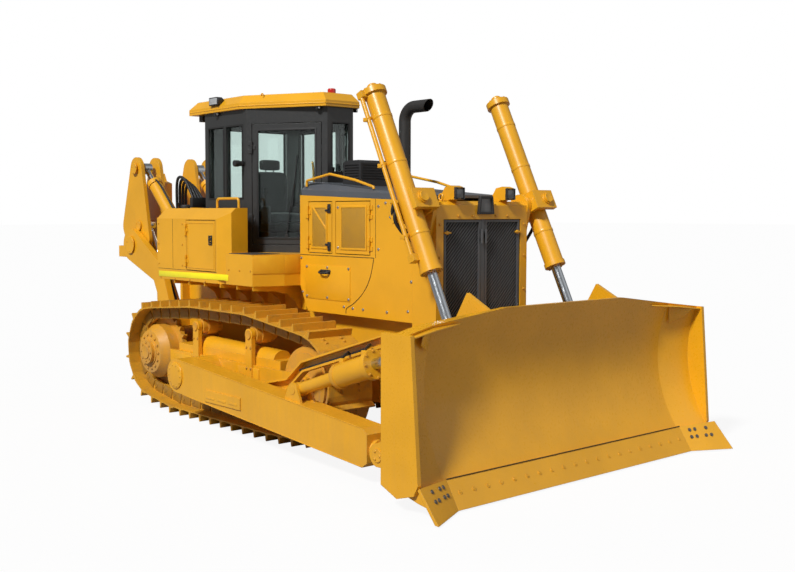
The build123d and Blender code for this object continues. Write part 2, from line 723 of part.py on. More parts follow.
cab_door_gap = door_gap / slant_length
cab_hinge_heights = (2350, 3200)
cab_ceiling = 75
window_low_z, windscreen_low_z = 2600, 2900
windscreen_half, rear_window_half = 130, 480
window_mid_x = (cab_rear_x + cab_bend_x) / 2
side_windows = ((cab_rear_x + 80, window_mid_x - 20), (window_mid_x + 20, cab_bend_x - 70))
with BuildPart() as cab_shell:
    plate_xy(cab_plan(0), cab_floor_z, cab_top_z)
    plate_xy(cab_plan(cab_wall), cab_floor_z + 60, cab_top_z - cab_ceiling, mode=Mode.SUBTRACT)
    # side windows, rear window and windscreen
    for low_x, high_x in side_windows:
        block(low_x, high_x, -cab_half_width - 10, cab_half_width + 10,
              window_low_z, door_high_z, mode=Mode.SUBTRACT)
    block(cab_rear_x - 10, cab_rear_x + 150, -rear_window_half, rear_window_half,
          window_low_z, door_high_z, mode=Mode.SUBTRACT)
    block(cab_front_x - 150, cab_front_x + 10, -windscreen_half, windscreen_half,
          windscreen_low_z, door_high_z, mode=Mode.SUBTRACT)
    for side in (-1, 1):
        plate_xy([slant_point(door_start, side, 20), slant_point(door_end, side, 20),
                  slant_point(door_end, side, -90), slant_point(door_start, side, -90)],
                 door_low_z, door_high_z, mode=Mode.SUBTRACT)
        cab_corner = slant_point(door_end - cab_door_gap / 2, side)
        add_hinge(cab_corner, slant_along(side), side, cab_hinge_heights, True)
save(cab_shell.part, "cab_shell")

for side, side_name in ((-1, "right"), (1, "left")):
    with BuildPart() as cab_door:
        low, high = door_start + cab_door_gap, door_end - cab_door_gap
        plate_xy([slant_point(low, side), slant_point(high, side), slant_point(high, side, -50),
                  slant_point(low, side, -50)], door_low_z + 8, door_high_z - 8)
        plate_xy([slant_point(low + 0.06, side, 10), slant_point(high - 0.06, side, 10),
                  slant_point(high - 0.06, side, -60), slant_point(low + 0.06, side, -60)],
                 door_low_z + 70, door_high_z - 70, mode=Mode.SUBTRACT)
        cab_corner = slant_point(door_end - cab_door_gap / 2, side)
        add_hinge(cab_corner, slant_along(side), side, cab_hinge_heights, False)
    save(cab_door.part, f"cab_door_{side_name}")
    with BuildPart() as door_glass:
        low, high = low + 0.06 + seat / slant_length, high - 0.06 - seat / slant_length
        plate_xy([slant_point(low, side, -20), slant_point(high, side, -20), slant_point(high, side, -26),
                  slant_point(low, side, -26)], door_low_z + 70 + seat, door_high_z - 70 - seat)
    save(door_glass.part, f"door_glass_{side_name}")

glass = 6
with BuildPart() as cab_glass:
    for side in (-1, 1):
        for low_x, high_x in side_windows:
            block(low_x + seat, high_x - seat,
                  *between(side * (cab_half_width - 30), side * (cab_half_width - 30 - glass)),
                  window_low_z + seat, door_high_z - seat)
    block(cab_rear_x + 30, cab_rear_x + 30 + glass, -rear_window_half + seat, rear_window_half - seat,
          window_low_z + seat, door_high_z - seat)
    block(cab_front_x - 30 - glass, cab_front_x - 30, -windscreen_half + seat, windscreen_half - seat,
          windscreen_low_z + seat, door_high_z - seat)
save(cab_glass.part, "cab_glass")

with BuildPart() as cab_roof:
    roof_plan = [(-1802, -770), (-634, -787), (338, -250), (338, 250), (-634, 787), (-1802, 770)]
    roof_crown = [(-1720, -690), (-660, -700), (240, -210), (240, 210), (-660, 700), (-1720, 690)]
    plate_xy(roof_plan, roof_bottom_z, roof_edge_top_z)
    levels = []
    for z, points in ((roof_edge_top_z, roof_plan), (roof_top_z, roof_crown)):
        with BuildSketch(Plane.XY.offset(z)) as level:
            with BuildLine():
                Polyline(*points, close=True)
            make_face()
        levels.append(level.sketch.face())
    loft(levels, ruled=True)
save(cab_roof.part, "cab_roof")

# Lamps on the guard and under the roof's edge, beacon and handrails
lamp_radius = 52
guard_lamps = ((-440, -320), (290, 410))
with BuildPart() as work_lamps:
    for low, high in guard_lamps:
        plate_xz([(2420, guard_top_z + seat), (guard_front_x - 61, guard_top_z + seat),
                  (guard_front_x - 45, guard_top_z + 12), (guard_front_x + 25, guard_top_z + 12),
                  (guard_front_x + 32, guard_top_z + 135), (guard_front_x - 20, guard_top_z + 150),
                  (2470, guard_top_z + 135), (2420, guard_top_z + 60)], low, high)
        bar((guard_front_x + 20, (low + high) / 2, guard_top_z + 72),
            (guard_front_x + 42, (low + high) / 2, guard_top_z + 72), lamp_radius)
    for side in (-1, 1):
        for x, y, half, heading in ((-1180, 785, 22, 1), (-1640, 700, 40, -1), (225, 300, 19, 1)):
            block(x - half, x + half, *between(side * y, side * (y - 2 * half)),
                  roof_bottom_z - 2 * half, roof_bottom_z - seat)
            lens_y, lens_z = side * (y - half), roof_bottom_z - seat - half
            bar((x, lens_y, lens_z), (x + heading * (half + 10), lens_y, lens_z), half - 5)
save(work_lamps.part, "work_lamps")

beacon_x, beacon_y = -250, 300
with BuildPart() as beacon:
    with Locations((beacon_x, beacon_y, roof_top_z + seat)):
        Cylinder(65, 22, align=(Align.CENTER, Align.CENTER, Align.MIN))
        Cylinder(50, 120, align=(Align.CENTER, Align.CENTER, Align.MIN))
    fillet(beacon.edges().group_by(Axis.Z)[-1], 18)
save(beacon.part, "beacon")

rail_radius = 15
with BuildPart() as handrails:
    for side in (-1, 1):
        y = side * (hood_half_width - 30)
        # the feet end where the shoulder's slope meets the tube's inner side
        foot = rail_radius * (hood_rise - hood_shoulder) / hood_slope + 1
        pipe([(440, y, hood_surface_z(440, y) + foot), (440, y, 2790), (860, y, 2854), (1286, y, 2779),
              (1590, y, 2700), (1590, y, hood_surface_z(1590, y) + foot)], rail_radius, 18)
        y = side * 1000
        pipe([(-790, y, box_top_z + seat), (-790, y, box_top_z + 110), (-330, y, box_top_z + 110),
              (-330, y, box_top_z + seat)], rail_radius, 40)
        y = side * (cab_half_width - 90)
        rear = cab_rear_x - seat
        pipe([(rear, y, 2700), (rear - 80, y, 2700), (rear - 80, y, 3250), (rear, y, 3250)], rail_radius, 40)
save(handrails.part, "handrails")

with BuildPart() as seat_part:
    block(-1150, -650, -260, 260, cab_floor_z + 60 + seat, 2420)
    block(-1200, -1040, -240, 240, 2420, 3100)
save(seat_part.part, "operator_seat")

with BuildPart() as console:
    block(-30, 120, -150, 150, cab_floor_z + 60 + seat, 2800)
save(console.part, "dash_console")

# Ripper bracket on the rear case
base_eye_half = 55
tower_top_x = link_pin_x + upright_pin_x - beam_pin_x
tower_top_z = link_pin_z + upright_pin_z - beam_pin_z
bracket_front_x = frame_rear_x - seat
bracket_rear_x = bracket_front_x - 55
ripper_pin_radius = 45
lug_gap = 8
with BuildPart() as ripper_bracket:
    block(bracket_rear_x, bracket_front_x, -590, 590, 520, 1640)
    for side in (-1, 1):
        near, far = base_eye_half + lug_gap, base_eye_half + lug_gap + 45
        for low, high in ((cylinder_lane_y - far, cylinder_lane_y - near),
                          (cylinder_lane_y + near, cylinder_lane_y + far)):
            limits = between(side * low, side * high)
            root = bracket_front_x - 30
            case_rest_z = case_top_z + seat + 25
            hull_xz([(ripper_lift_base_x, ripper_lift_base_z, 85), (root, 575, 30), (root, 640, 30)],
                    *limits)
            hull_xz([(tower_top_x, tower_top_z, 85), (root, 1300, 30), (root, case_rest_z, 30)],
                    *limits)
            hull_xz([(tower_top_x, tower_top_z, 85), (-2180, case_rest_z, 25), (-2380, case_rest_z, 25)],
                    *limits)
        for low, high in ((link_arm_inner_y - lug_gap - 50, link_arm_inner_y - lug_gap),
                          (link_arm_outer_y + lug_gap, link_arm_outer_y + lug_gap + 40)):
            limits = between(side * low, side * high)
            root = bracket_front_x - 52
            hull_xz([(link_pin_x, link_pin_z, 108), (root, link_pin_z - 160, 50),
                     (root, link_pin_z + 160, 50)], *limits)
        block(bracket_rear_x, bracket_front_x, *between(side * 560, side * (link_arm_outer_y + lug_gap + 40)),
              link_pin_z - 205, link_pin_z + 205)
        pin_y(link_pin_x, link_pin_z, ripper_pin_radius,
              *between(side * (link_arm_inner_y - 50), side * (link_arm_outer_y + 40)))
        pin_y(ripper_lift_base_x, ripper_lift_base_z, ripper_pin_radius,
              *between(side * (cylinder_lane_y - 100), side * (cylinder_lane_y + 100)))
        pin_y(tower_top_x, tower_top_z, ripper_pin_radius,
              *between(side * (cylinder_lane_y - 100), side * (cylinder_lane_y + 100)))
save(ripper_bracket.part, "ripper_bracket")

# Ripper link: two cranked arms and a cross tube
crank_x, crank_z, crank_radius = -2810, 1630, 140
link_eye_radius, beam_eye_radius = 105, 222
cross_tube_x, cross_tube_z, cross_tube_radius = -2800, 1600, 85
with BuildPart() as ripper_link:
    for side in (-1, 1):
        limits = between(side * link_arm_inner_y, side * link_arm_outer_y)
        hull_xz([(link_pin_x, link_pin_z, link_eye_radius), (crank_x, crank_z, crank_radius)], *limits)
        hull_xz([(crank_x, crank_z, crank_radius), (beam_pin_x, beam_pin_z, beam_eye_radius)], *limits)
        wide = between(side * (link_arm_inner_y - 5), side * (link_arm_outer_y + 5))
        pin_y(link_pin_x, link_pin_z, ripper_pin_radius + running_fit, *wide, mode=Mode.SUBTRACT)
        pin_y(beam_pin_x, beam_pin_z, ripper_pin_radius + running_fit, *wide, mode=Mode.SUBTRACT)
    pin_y(cross_tube_x, cross_tube_z, cross_tube_radius, -link_arm_inner_y - 5, link_arm_inner_y + 5)
save(ripper_link.part, "ripper_link")

fork_inner = (cylinder_lane_y - fork_gap_half - fork_plate, cylinder_lane_y - fork_gap_half)
fork_outer = (cylinder_lane_y + fork_gap_half, cylinder_lane_y + fork_gap_half + fork_plate)
with BuildPart() as ripper_pins:
    for side in (-1, 1):
        pin_y(beam_pin_x, beam_pin_z, ripper_pin_radius,
              *between(side * (fork_outer[0] + 5), side * (link_arm_outer_y + 12)))
save(ripper_pins.part, "ripper_pivot_pins")

# Ripper beam: two forked uprights on a box that holds the shank
shank_rear_x, shank_front_x = -4010, -3690
pocket_gap = seat
with BuildPart() as ripper_beam:
    for side in (-1, 1):
        for low, high in (fork_inner, fork_outer):
            limits = between(side * low, side * high)
            hull_xz([(upright_pin_x, upright_pin_z, 160), (-3775, 2250, 200), (-3350, 2080, 150),
                     (beam_pin_x, beam_pin_z, 190)], *limits)
        pin_y(upright_pin_x, upright_pin_z, 38,
              *between(side * (fork_outer[0] - 5), side * (fork_outer[1] + 25)))
        limits = between(side * (fork_outer[0] - 5), side * (fork_outer[1] + 5))
        pin_y(beam_pin_x, beam_pin_z, ripper_pin_radius + running_fit, *limits, mode=Mode.SUBTRACT)
        # outer plates stand on the box's ends
        block(-half_length, -3680, *between(side * (fork_inner[1] - 5), side * (fork_outer[1] - 1)),
              1800, 1960)
        # bosses that hold the lift cylinder's pin
        for limits in (fork_inner, fork_outer):
            pin_y(lift_eye_x, lift_eye_z, 62, *between(side * (limits[0] + 5), side * (limits[1] + 9)))
    block(-half_length, -3600, -fork_inner[1], fork_inner[1], 1800, 2160)
    block(shank_rear_x - pocket_gap, shank_front_x + pocket_gap, -shank_half_thickness - pocket_gap,
          shank_half_thickness + pocket_gap, 1700, 2250, mode=Mode.SUBTRACT)
save(ripper_beam.part, "ripper_beam")

with BuildPart() as ripper_shank:
    plate_xz([(shank_rear_x, 2880), (-3990, 2960), (-3900, 3010), (-3840, 2900), (shank_front_x, 2860),
              (shank_front_x, 1150), (-3640, 950), (-3480, 760), (-3330, 640), (-3360, 600),
              (-3560, 640), (-3780, 760), (-3930, 930), (shank_rear_x, 1150)],
             -shank_half_thickness, shank_half_thickness)
    pin_y(-3925, 2950, 22, -60, 60, mode=Mode.SUBTRACT)
save(ripper_shank.part, "ripper_shank")

# Ripper cylinders
def cylinder_frame(base, tip, y):
    """Plane at the base with its Z along the cylinder."""
    return Plane(origin=(base[0], y, base[1]), x_dir=(0, 1, 0), z_dir=(tip[0] - base[0], 0, tip[1] - base[1]))


def build_barrel(base, tip, y, radius, bore, rod_radius, length, pin_radius):
    """Barrel with its base eye at the base, open where the rod leaves it."""
    frame = cylinder_frame(base, tip, y)
    with BuildPart() as barrel:
        with Locations(frame):
            with Locations((0, 0, 95)):
                Cylinder(radius, length - 95, align=(Align.CENTER, Align.CENTER, Align.MIN))
            with Locations((0, 0, length - 70)):
                Cylinder(radius + 12, 70, align=(Align.CENTER, Align.CENTER, Align.MIN))
            with Locations((0, 0, 0)):
                Box(2 * base_eye_half, 90, 140, align=(Align.CENTER, Align.CENTER, Align.MIN))
        pin_y(base[0], base[1], 80, y - base_eye_half, y + base_eye_half)
        with Locations(frame):
            with Locations((0, 0, 150)):
                Cylinder(bore, length - 150 - 60, align=(Align.CENTER, Align.CENTER, Align.MIN),
                         mode=Mode.SUBTRACT)
                Cylinder(rod_radius + seat, length, align=(Align.CENTER, Align.CENTER, Align.MIN),
                         mode=Mode.SUBTRACT)
        pin_y(base[0], base[1], pin_radius + running_fit,
              y - base_eye_half - 5, y + base_eye_half + 5, mode=Mode.SUBTRACT)
    return barrel.part


def build_rod(base, tip, y, rod_radius, start, eye_radius, eye_width_half, pin_radius, pin_half):
    """Rod with the eye and its pin at the tip. It starts inside the barrel."""
    length = hypot(tip[0] - base[0], tip[1] - base[1])
    frame = cylinder_frame(base, tip, y)
    with BuildPart() as rod:
        with Locations(frame):
            with Locations((0, 0, start)):
                Cylinder(rod_radius, length - start - 20, align=(Align.CENTER, Align.CENTER, Align.MIN))
        pin_y(tip[0], tip[1], eye_radius, y - eye_width_half, y + eye_width_half)
        pin_y(tip[0], tip[1], pin_radius, y - pin_half, y + pin_half)
    return rod.part


ripper_lift_base = (ripper_lift_base_x, ripper_lift_base_z)
ripper_lift_tip = (lift_eye_x, lift_eye_z)
ripper_lift_barrel_length = 1180
with BuildPart() as ripper_lift_barrels:
    for side in (-1, 1):
        add(build_barrel(ripper_lift_base, ripper_lift_tip, side * cylinder_lane_y, 92, 78, 42,
                         ripper_lift_barrel_length, ripper_pin_radius))
save(ripper_lift_barrels.part, "ripper_lift_barrels")
with BuildPart() as ripper_lift_rods:
    for side in (-1, 1):
        add(build_rod(ripper_lift_base, ripper_lift_tip, side * cylinder_lane_y, 42, 760, 78,
                      eye_half, 38, 80))
save(ripper_lift_rods.part, "ripper_lift_rods")

tower_top = (tower_top_x, tower_top_z)
upright_pin = (upright_pin_x, upright_pin_z)
with BuildPart() as ripper_tilt_barrels:
    for side in (-1, 1):
        add(build_barrel(tower_top, upright_pin, side * cylinder_lane_y, 92, 78, 42, 1150, ripper_pin_radius))
save(ripper_tilt_barrels.part, "ripper_tilt_barrels")
with BuildPart() as ripper_tilt_rods:
    for side in (-1, 1):
        add(build_rod(tower_top, upright_pin, side * cylinder_lane_y, 42, 700, 78, eye_half, 38, 80))
save(ripper_tilt_rods.part, "ripper_tilt_rods")

# Push arms
def build_push_arm(side):
    """Box arm from the trunnion to the ball joint."""
    inner, outer = side * (arm_y - arm_half_width), side * (arm_y + arm_half_width)
    with BuildPart() as arm:
        trunnion_low, trunnion_high = trunnion_z - trunnion_eye_radius, trunnion_z + trunnion_eye_radius
        plate_xz([(trunnion_x, trunnion_low), (2760, 165), (2830, 215), (2830, 470), (2760, 525),
                  (trunnion_x, trunnion_high)], *between(inner, outer))
        pin_y(trunnion_x, trunnion_z, trunnion_eye_radius, *between(inner, outer))
        # round neck to the ball eye
        bar((2800, side * arm_y, ball_z), (ball_x - ball_lug_radius - 15, side * arm_y, ball_z), 95)
        bar((2820, side * arm_y, ball_z), (ball_x - ball_radius - 5, side * arm_y, ball_z), 75)
        pin_y(ball_x, ball_z, ball_eye_radius, side * arm_y - ball_eye_half, side * arm_y + ball_eye_half)
        # step plate on the outer face
        block(125, 812, *between(outer - side * 5, outer + side * 14), 395, 520)
        if side < 0:
            # hose guard beside the tilt cylinder
            plate_xz([(870, 560), (1250, 640), (1520, 850), (2790, 1235), (2760, 1345), (1480, 960),
                      (1230, 755), (870, 680)], -1470, -1390)
            plate_xz([(900, 600), (1240, 655), (1505, 870), (2740, 1245), (2720, 1315), (1495, 940),
                      (1235, 735), (900, 660)], -1475, -1405, mode=Mode.SUBTRACT)
            block(900, 1250, inner - 5, -1390, 560, 640)
        if side < 0:
            pin_y(ball_x, ball_z, ball_pin_radius,
                  side * arm_y - ball_eye_half - 12, side * arm_y + ball_eye_half + 12)
        else:
            with Locations((ball_x, side * arm_y, ball_z)):
                Sphere(ball_radius + running_fit, mode=Mode.SUBTRACT)
        gap = eye_half + (8 if side < 0 else 48)
        for offset in (-1, 1):
            limits = between(side * arm_y + offset * gap, side * arm_y + offset * (gap + 30))
            hull_xz([(tilt_pin_x, tilt_pin_z, 75), (tilt_pin_x - 130, 580, 20),
                     (tilt_pin_x + 130, 555, 20)], *limits)
        if side < 0:
            pin_y(tilt_pin_x, tilt_pin_z, 40, side * arm_y - gap - 35, side * arm_y + gap + 35)
        pin_y(trunnion_x, trunnion_z, trunnion_radius + running_fit,
              *between(inner - side * 5, outer - side * 40), mode=Mode.SUBTRACT)
    return arm.part


save(build_push_arm(1), "push_arm_left")
save(build_push_arm(-1), "push_arm_right")

# Tilt cylinder on the right, brace strut on the left
tilt_base, tilt_tip = (tilt_pin_x, tilt_pin_z), (tilt_lug_x, tilt_lug_z)
tilt_frame = cylinder_frame(tilt_base, tilt_tip, -arm_y)
tilt_barrel_start, tilt_barrel_end = 640, 1190
with BuildPart() as tilt_barrel:
    with Locations(tilt_frame):
        with Locations((0, 0, 60)):
            Cylinder(62, tilt_barrel_start, align=(Align.CENTER, Align.CENTER, Align.MIN))
        with Locations((0, 0, tilt_barrel_start)):
            Cylinder(112, tilt_barrel_end - tilt_barrel_start, align=(Align.CENTER, Align.CENTER, Align.MIN))
        with Locations((0, 0, tilt_barrel_end - 60)):
            Cylinder(138, 60, align=(Align.CENTER, Align.CENTER, Align.MIN))
    pin_y(tilt_pin_x, tilt_pin_z, 72, -arm_y - eye_half, -arm_y + eye_half)
    with Locations(tilt_frame):
        with Locations((0, 0, tilt_barrel_start + 40)):
            Cylinder(94, tilt_barrel_end - tilt_barrel_start - 100,
                     align=(Align.CENTER, Align.CENTER, Align.MIN), mode=Mode.SUBTRACT)
            Cylinder(50 + seat, tilt_barrel_end, align=(Align.CENTER, Align.CENTER, Align.MIN),
                     mode=Mode.SUBTRACT)
    pin_y(tilt_pin_x, tilt_pin_z, 40 + running_fit, -arm_y - eye_half - 5, -arm_y + eye_half + 5,
          mode=Mode.SUBTRACT)
save(tilt_barrel.part, "tilt_barrel")
save(build_rod(tilt_base, tilt_tip, -arm_y, 50, 800, 80, eye_half, 38, eye_half + 12), "tilt_rod")

with BuildPart() as brace_strut:
    bar((tilt_pin_x + 60, arm_y, tilt_pin_z + 20), (tilt_lug_x - 60, arm_y, tilt_lug_z - 20), 62)
    pin_y(tilt_pin_x, tilt_pin_z, 72, arm_y - eye_half, arm_y + eye_half)
    pin_y(tilt_lug_x, tilt_lug_z, 72, arm_y - eye_half, arm_y + eye_half)
    pin_y(tilt_lug_x, tilt_lug_z, 38 + running_fit, arm_y - eye_half - 5, arm_y + eye_half + 5,
          mode=Mode.SUBTRACT)
save(brace_strut.part, "brace_strut")

# Lift cylinders
lift_barrel_up, lift_barrel_down = 1200, 690
lift_barrel_radius, lift_rod_radius = 100, 50
with BuildPart() as lift_barrels:
    for side in (-1, 1):
        frame = cylinder_frame((yoke_x, yoke_z), (lift_pin_x, lift_pin_z), side * lift_y)
        with Locations(frame):
            with Locations((0, 0, -lift_barrel_up)):
                Cylinder(lift_barrel_radius, lift_barrel_up + lift_barrel_down,
                         align=(Align.CENTER, Align.CENTER, Align.MIN))
            with Locations((0, 0, -lift_barrel_up - 60)):
                Cylinder(lift_barrel_radius + 25, 60, align=(Align.CENTER, Align.CENTER, Align.MIN))
            with Locations((0, 0, -lift_barrel_up - 90)):
                Cylinder(lift_barrel_radius - 25, 60, align=(Align.CENTER, Align.CENTER, Align.MIN))
            # outer feed pipe between two port blocks
            for port in (-lift_barrel_up - 15, lift_barrel_down - 165):
                with Locations((side * 120, -40, port)):
                    Box(90, 80, 70)
            with Locations((side * 145, -40, -lift_barrel_up)):
                Cylinder(22, lift_barrel_up + lift_barrel_down - 165,
                         align=(Align.CENTER, Align.CENTER, Align.MIN))
            with Locations((0, 0, lift_barrel_down - 45)):
                Cylinder(lift_barrel_radius + 10, 45, align=(Align.CENTER, Align.CENTER, Align.MIN))
            Cylinder(42, 2 * 134.7, rotation=(90, 0, 0))
            with Locations((0, 0, -lift_barrel_up)):
                Cylinder(84, lift_barrel_up + lift_barrel_down - 60,
                         align=(Align.CENTER, Align.CENTER, Align.MIN), mode=Mode.SUBTRACT)
                Cylinder(lift_rod_radius + seat, lift_barrel_up + lift_barrel_down + 10,
                         align=(Align.CENTER, Align.CENTER, Align.MIN), mode=Mode.SUBTRACT)
save(lift_barrels.part, "lift_barrels")

with BuildPart() as lift_rods:
    for side in (-1, 1):
        add(build_rod((yoke_x, yoke_z), (lift_pin_x, lift_pin_z), side * lift_y, lift_rod_radius,
                      -10, 80, 48, 38, 100))
save(lift_rods.part, "lift_rods")

with BuildPart() as lift_yokes:
    for side in (-1, 1):
        frame = cylinder_frame((yoke_x, yoke_z), (lift_pin_x, lift_pin_z), side * lift_y)
        web_inner = horn_outer_y + 5 - lift_y
        with Locations(frame):
            with Locations((side * (web_inner + 25), 0, 0)):
                Box(50, 380, 200)
            for offset in (-1, 1):
                with Locations((side * (web_inner + 150), offset * 162.5, 0)):
                    Box(300, 55, 200)
                with Locations((0, offset * 198, 0)):
                    Cylinder(62, 18, rotation=(90, 0, 0))
        pin_y(yoke_x, yoke_z, yoke_pin_radius,
              *between(side * (guard_half_width - 35), side * (horn_outer_y + 10)))
save(lift_yokes.part, "lift_yokes")

# Blade
edge_slope = hypot(edge_bottom_x - edge_top_x, edge_bottom_z - edge_top_z)
edge_ux, edge_uz = (edge_bottom_x - edge_top_x) / edge_slope, (edge_bottom_z - edge_top_z) / edge_slope


def on_edge(down, back):
    """Point on the cutting edge's side view: down along its face, then back into it."""
    return (edge_top_x + down * edge_ux + back * edge_uz, edge_top_z + down * edge_uz - back * edge_ux)


edge_seat_top = on_edge(-12, edge_thickness + seat)
edge_seat_bottom = on_edge(150, edge_thickness + seat)


def blade_section(y):
    """Outline of the mouldboard and its back, on the plane at y."""
    with BuildSketch(Plane.XZ.offset(-y)) as section:
        with BuildLine():
            ThreePointArc(edge_seat_top, (mouldboard_mid_x, mouldboard_mid_z),
                          (mouldboard_top_x, mouldboard_top_z))
            Polyline((mouldboard_top_x, mouldboard_top_z), (3600, mouldboard_top_z), (3430, 1480),
                     (3420, 1300), (3440, 1240), (3440, 720), (3390, 640), (3390, 280), (3480, 170),
                     (3690, 120), edge_seat_bottom, edge_seat_top)
        make_face()
    return section.sketch


with BuildPart() as blade:
    extrude(blade_section(blade_half_width), amount=2 * blade_half_width)
    for side in (-1, 1):
        reach = wing_half_width - blade_half_width
        extrude(blade_section(side * blade_half_width), amount=hypot(reach, wing_forward),
                dir=(wing_forward, side * reach, 0))
        limits = between(side * wing_half_width, side * side_plate_outer_y)
        plate_xz([(3403, 200), (3403, 1471), (3760, 1475), (3850, 270), (3800, 180), (3600, 120)], *limits)
        # top edge slopes down from the centre to the corners
        with BuildSketch(Plane.YZ.offset(3200)) as slope:
            with BuildLine():
                Polyline((side * top_bend_y, mouldboard_top_z), (side * 2300, 1430), (side * 2300, 1800),
                         (side * top_bend_y, 1800), close=True)
            make_face()
        extrude(slope.sketch, amount=900, mode=Mode.SUBTRACT)
        # lift cylinder lugs
        for low, high in ((lift_y - 225, lift_y - 190), (lift_y + 190, lift_y + 225)):
            hull_xz([(lift_pin_x, lift_pin_z, 90), (lug_root_x, 1150, 60), (lug_root_x, 750, 60)],
                    *between(side * low, side * high))
        # ears on the back, behind the top edge
        plate_xz([(3130, 1480), (3270, 1720), (3548, 1577), (3440, 1350), (3300, 1300)],
                 *between(side * (lift_y + 15), side * (lift_y + 55)))
        # ball joint lugs
        for offset in (-1, 1):
            limits = between(side * arm_y + offset * 100, side * arm_y + offset * 135)
            hull_xz([(ball_x, ball_z, ball_lug_radius), (3420, 500, 60), (3420, 300, 60)], *limits)
        gap = 175 if side < 0 else eye_half + 8
        for offset in (-1, 1):
            limits = between(side * arm_y + offset * gap, side * arm_y + offset * (gap + 35))
            hull_xz([(tilt_lug_x, tilt_lug_z, 85), (lug_root_x, 1380, 40), (lug_root_x, 1120, 40)], *limits)
    pin_y(tilt_lug_x, tilt_lug_z, 38, arm_y - eye_half - 40, arm_y + eye_half + 40)
    pin_y(ball_x, ball_z, ball_pin_radius, arm_y - 140, arm_y + 140)
    with Locations((ball_x, arm_y, ball_z)):
        Sphere(ball_radius)
save(blade.part, "blade")

edge_back_bottom = on_edge(edge_slope - edge_thickness * edge_ux / -edge_uz, edge_thickness)
with BuildPart() as cutting_edge:
    plate_xz([(edge_top_x, edge_top_z), (edge_bottom_x, edge_bottom_z), edge_back_bottom,
              on_edge(0, edge_thickness)], -blade_half_width, blade_half_width)
save(cutting_edge.part, "cutting_edge")

bit_inner_y = blade_half_width + seat
with BuildPart() as end_bits:
    for side in (-1, 1):
        sections = []
        inner = [(edge_top_x, edge_top_z), (edge_bottom_x, edge_bottom_z), edge_back_bottom,
                 on_edge(0, edge_thickness)]
        outer = [(3899, 269), (half_length, edge_bottom_z), (half_length - 42, edge_bottom_z), (3875, 248)]
        for y, corners in ((bit_inner_y, inner), (end_bit_tip_y, outer)):
            with BuildSketch(Plane.XZ.offset(-side * y)) as section:
                with BuildLine():
                    Polyline(*corners, close=True)
                make_face()
            sections.append(section.sketch.face())
        loft(sections)
save(end_bits.part, "end_bits")
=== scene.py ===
import logging
from dataclasses import dataclass
from enum import Enum
from math import cos, pi, radians, sin
from typing import Any, Callable, Iterable, Sequence, Union

import bpy
from mathutils import Matrix, Vector


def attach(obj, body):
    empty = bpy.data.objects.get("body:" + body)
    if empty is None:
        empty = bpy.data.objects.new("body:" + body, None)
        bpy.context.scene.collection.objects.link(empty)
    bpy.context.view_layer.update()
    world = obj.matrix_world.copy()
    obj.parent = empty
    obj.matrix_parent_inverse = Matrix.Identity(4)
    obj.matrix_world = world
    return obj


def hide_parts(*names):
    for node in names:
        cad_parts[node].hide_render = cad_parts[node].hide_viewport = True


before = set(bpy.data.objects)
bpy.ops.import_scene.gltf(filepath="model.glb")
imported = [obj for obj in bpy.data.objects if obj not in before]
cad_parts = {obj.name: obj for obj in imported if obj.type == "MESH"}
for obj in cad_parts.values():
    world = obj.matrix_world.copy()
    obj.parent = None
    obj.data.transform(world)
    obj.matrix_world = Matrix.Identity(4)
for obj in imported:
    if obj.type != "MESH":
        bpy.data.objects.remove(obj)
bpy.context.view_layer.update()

log = logging.getLogger("bulldozer")
Point = Sequence[float]
Number = Union[float, "Signal"]
X, Y, Z = (1, 0, 0), (0, 1, 0), (0, 0, 1)
SHARP = radians(40)
ROUNDNESS = 6.0


class Side(Enum):
    """The machine's two sides, with the sign of their Y."""
    RIGHT = -1
    LEFT = 1


class Signal:
    """A shader socket that takes part in Python expressions."""

    def __init__(self, graph: "Graph", socket: bpy.types.NodeSocket) -> None:
        """Wraps one output socket.

        Args:
            graph: The graph that the socket belongs to.
            socket: The output socket.
        """
        self.graph, self.socket = graph, socket

    def __add__(self, other: Number) -> "Signal":
        """Sum."""
        return self.graph.math("ADD", self, other)

    def __sub__(self, other: Number) -> "Signal":
        """Difference."""
        return self.graph.math("SUBTRACT", self, other)

    def __rsub__(self, other: float) -> "Signal":
        """Difference from a number."""
        return self.graph.math("SUBTRACT", other, self)

    def __mul__(self, other: Number) -> "Signal":
        """Product."""
        return self.graph.math("MULTIPLY", self, other)

    __radd__, __rmul__ = __add__, __mul__


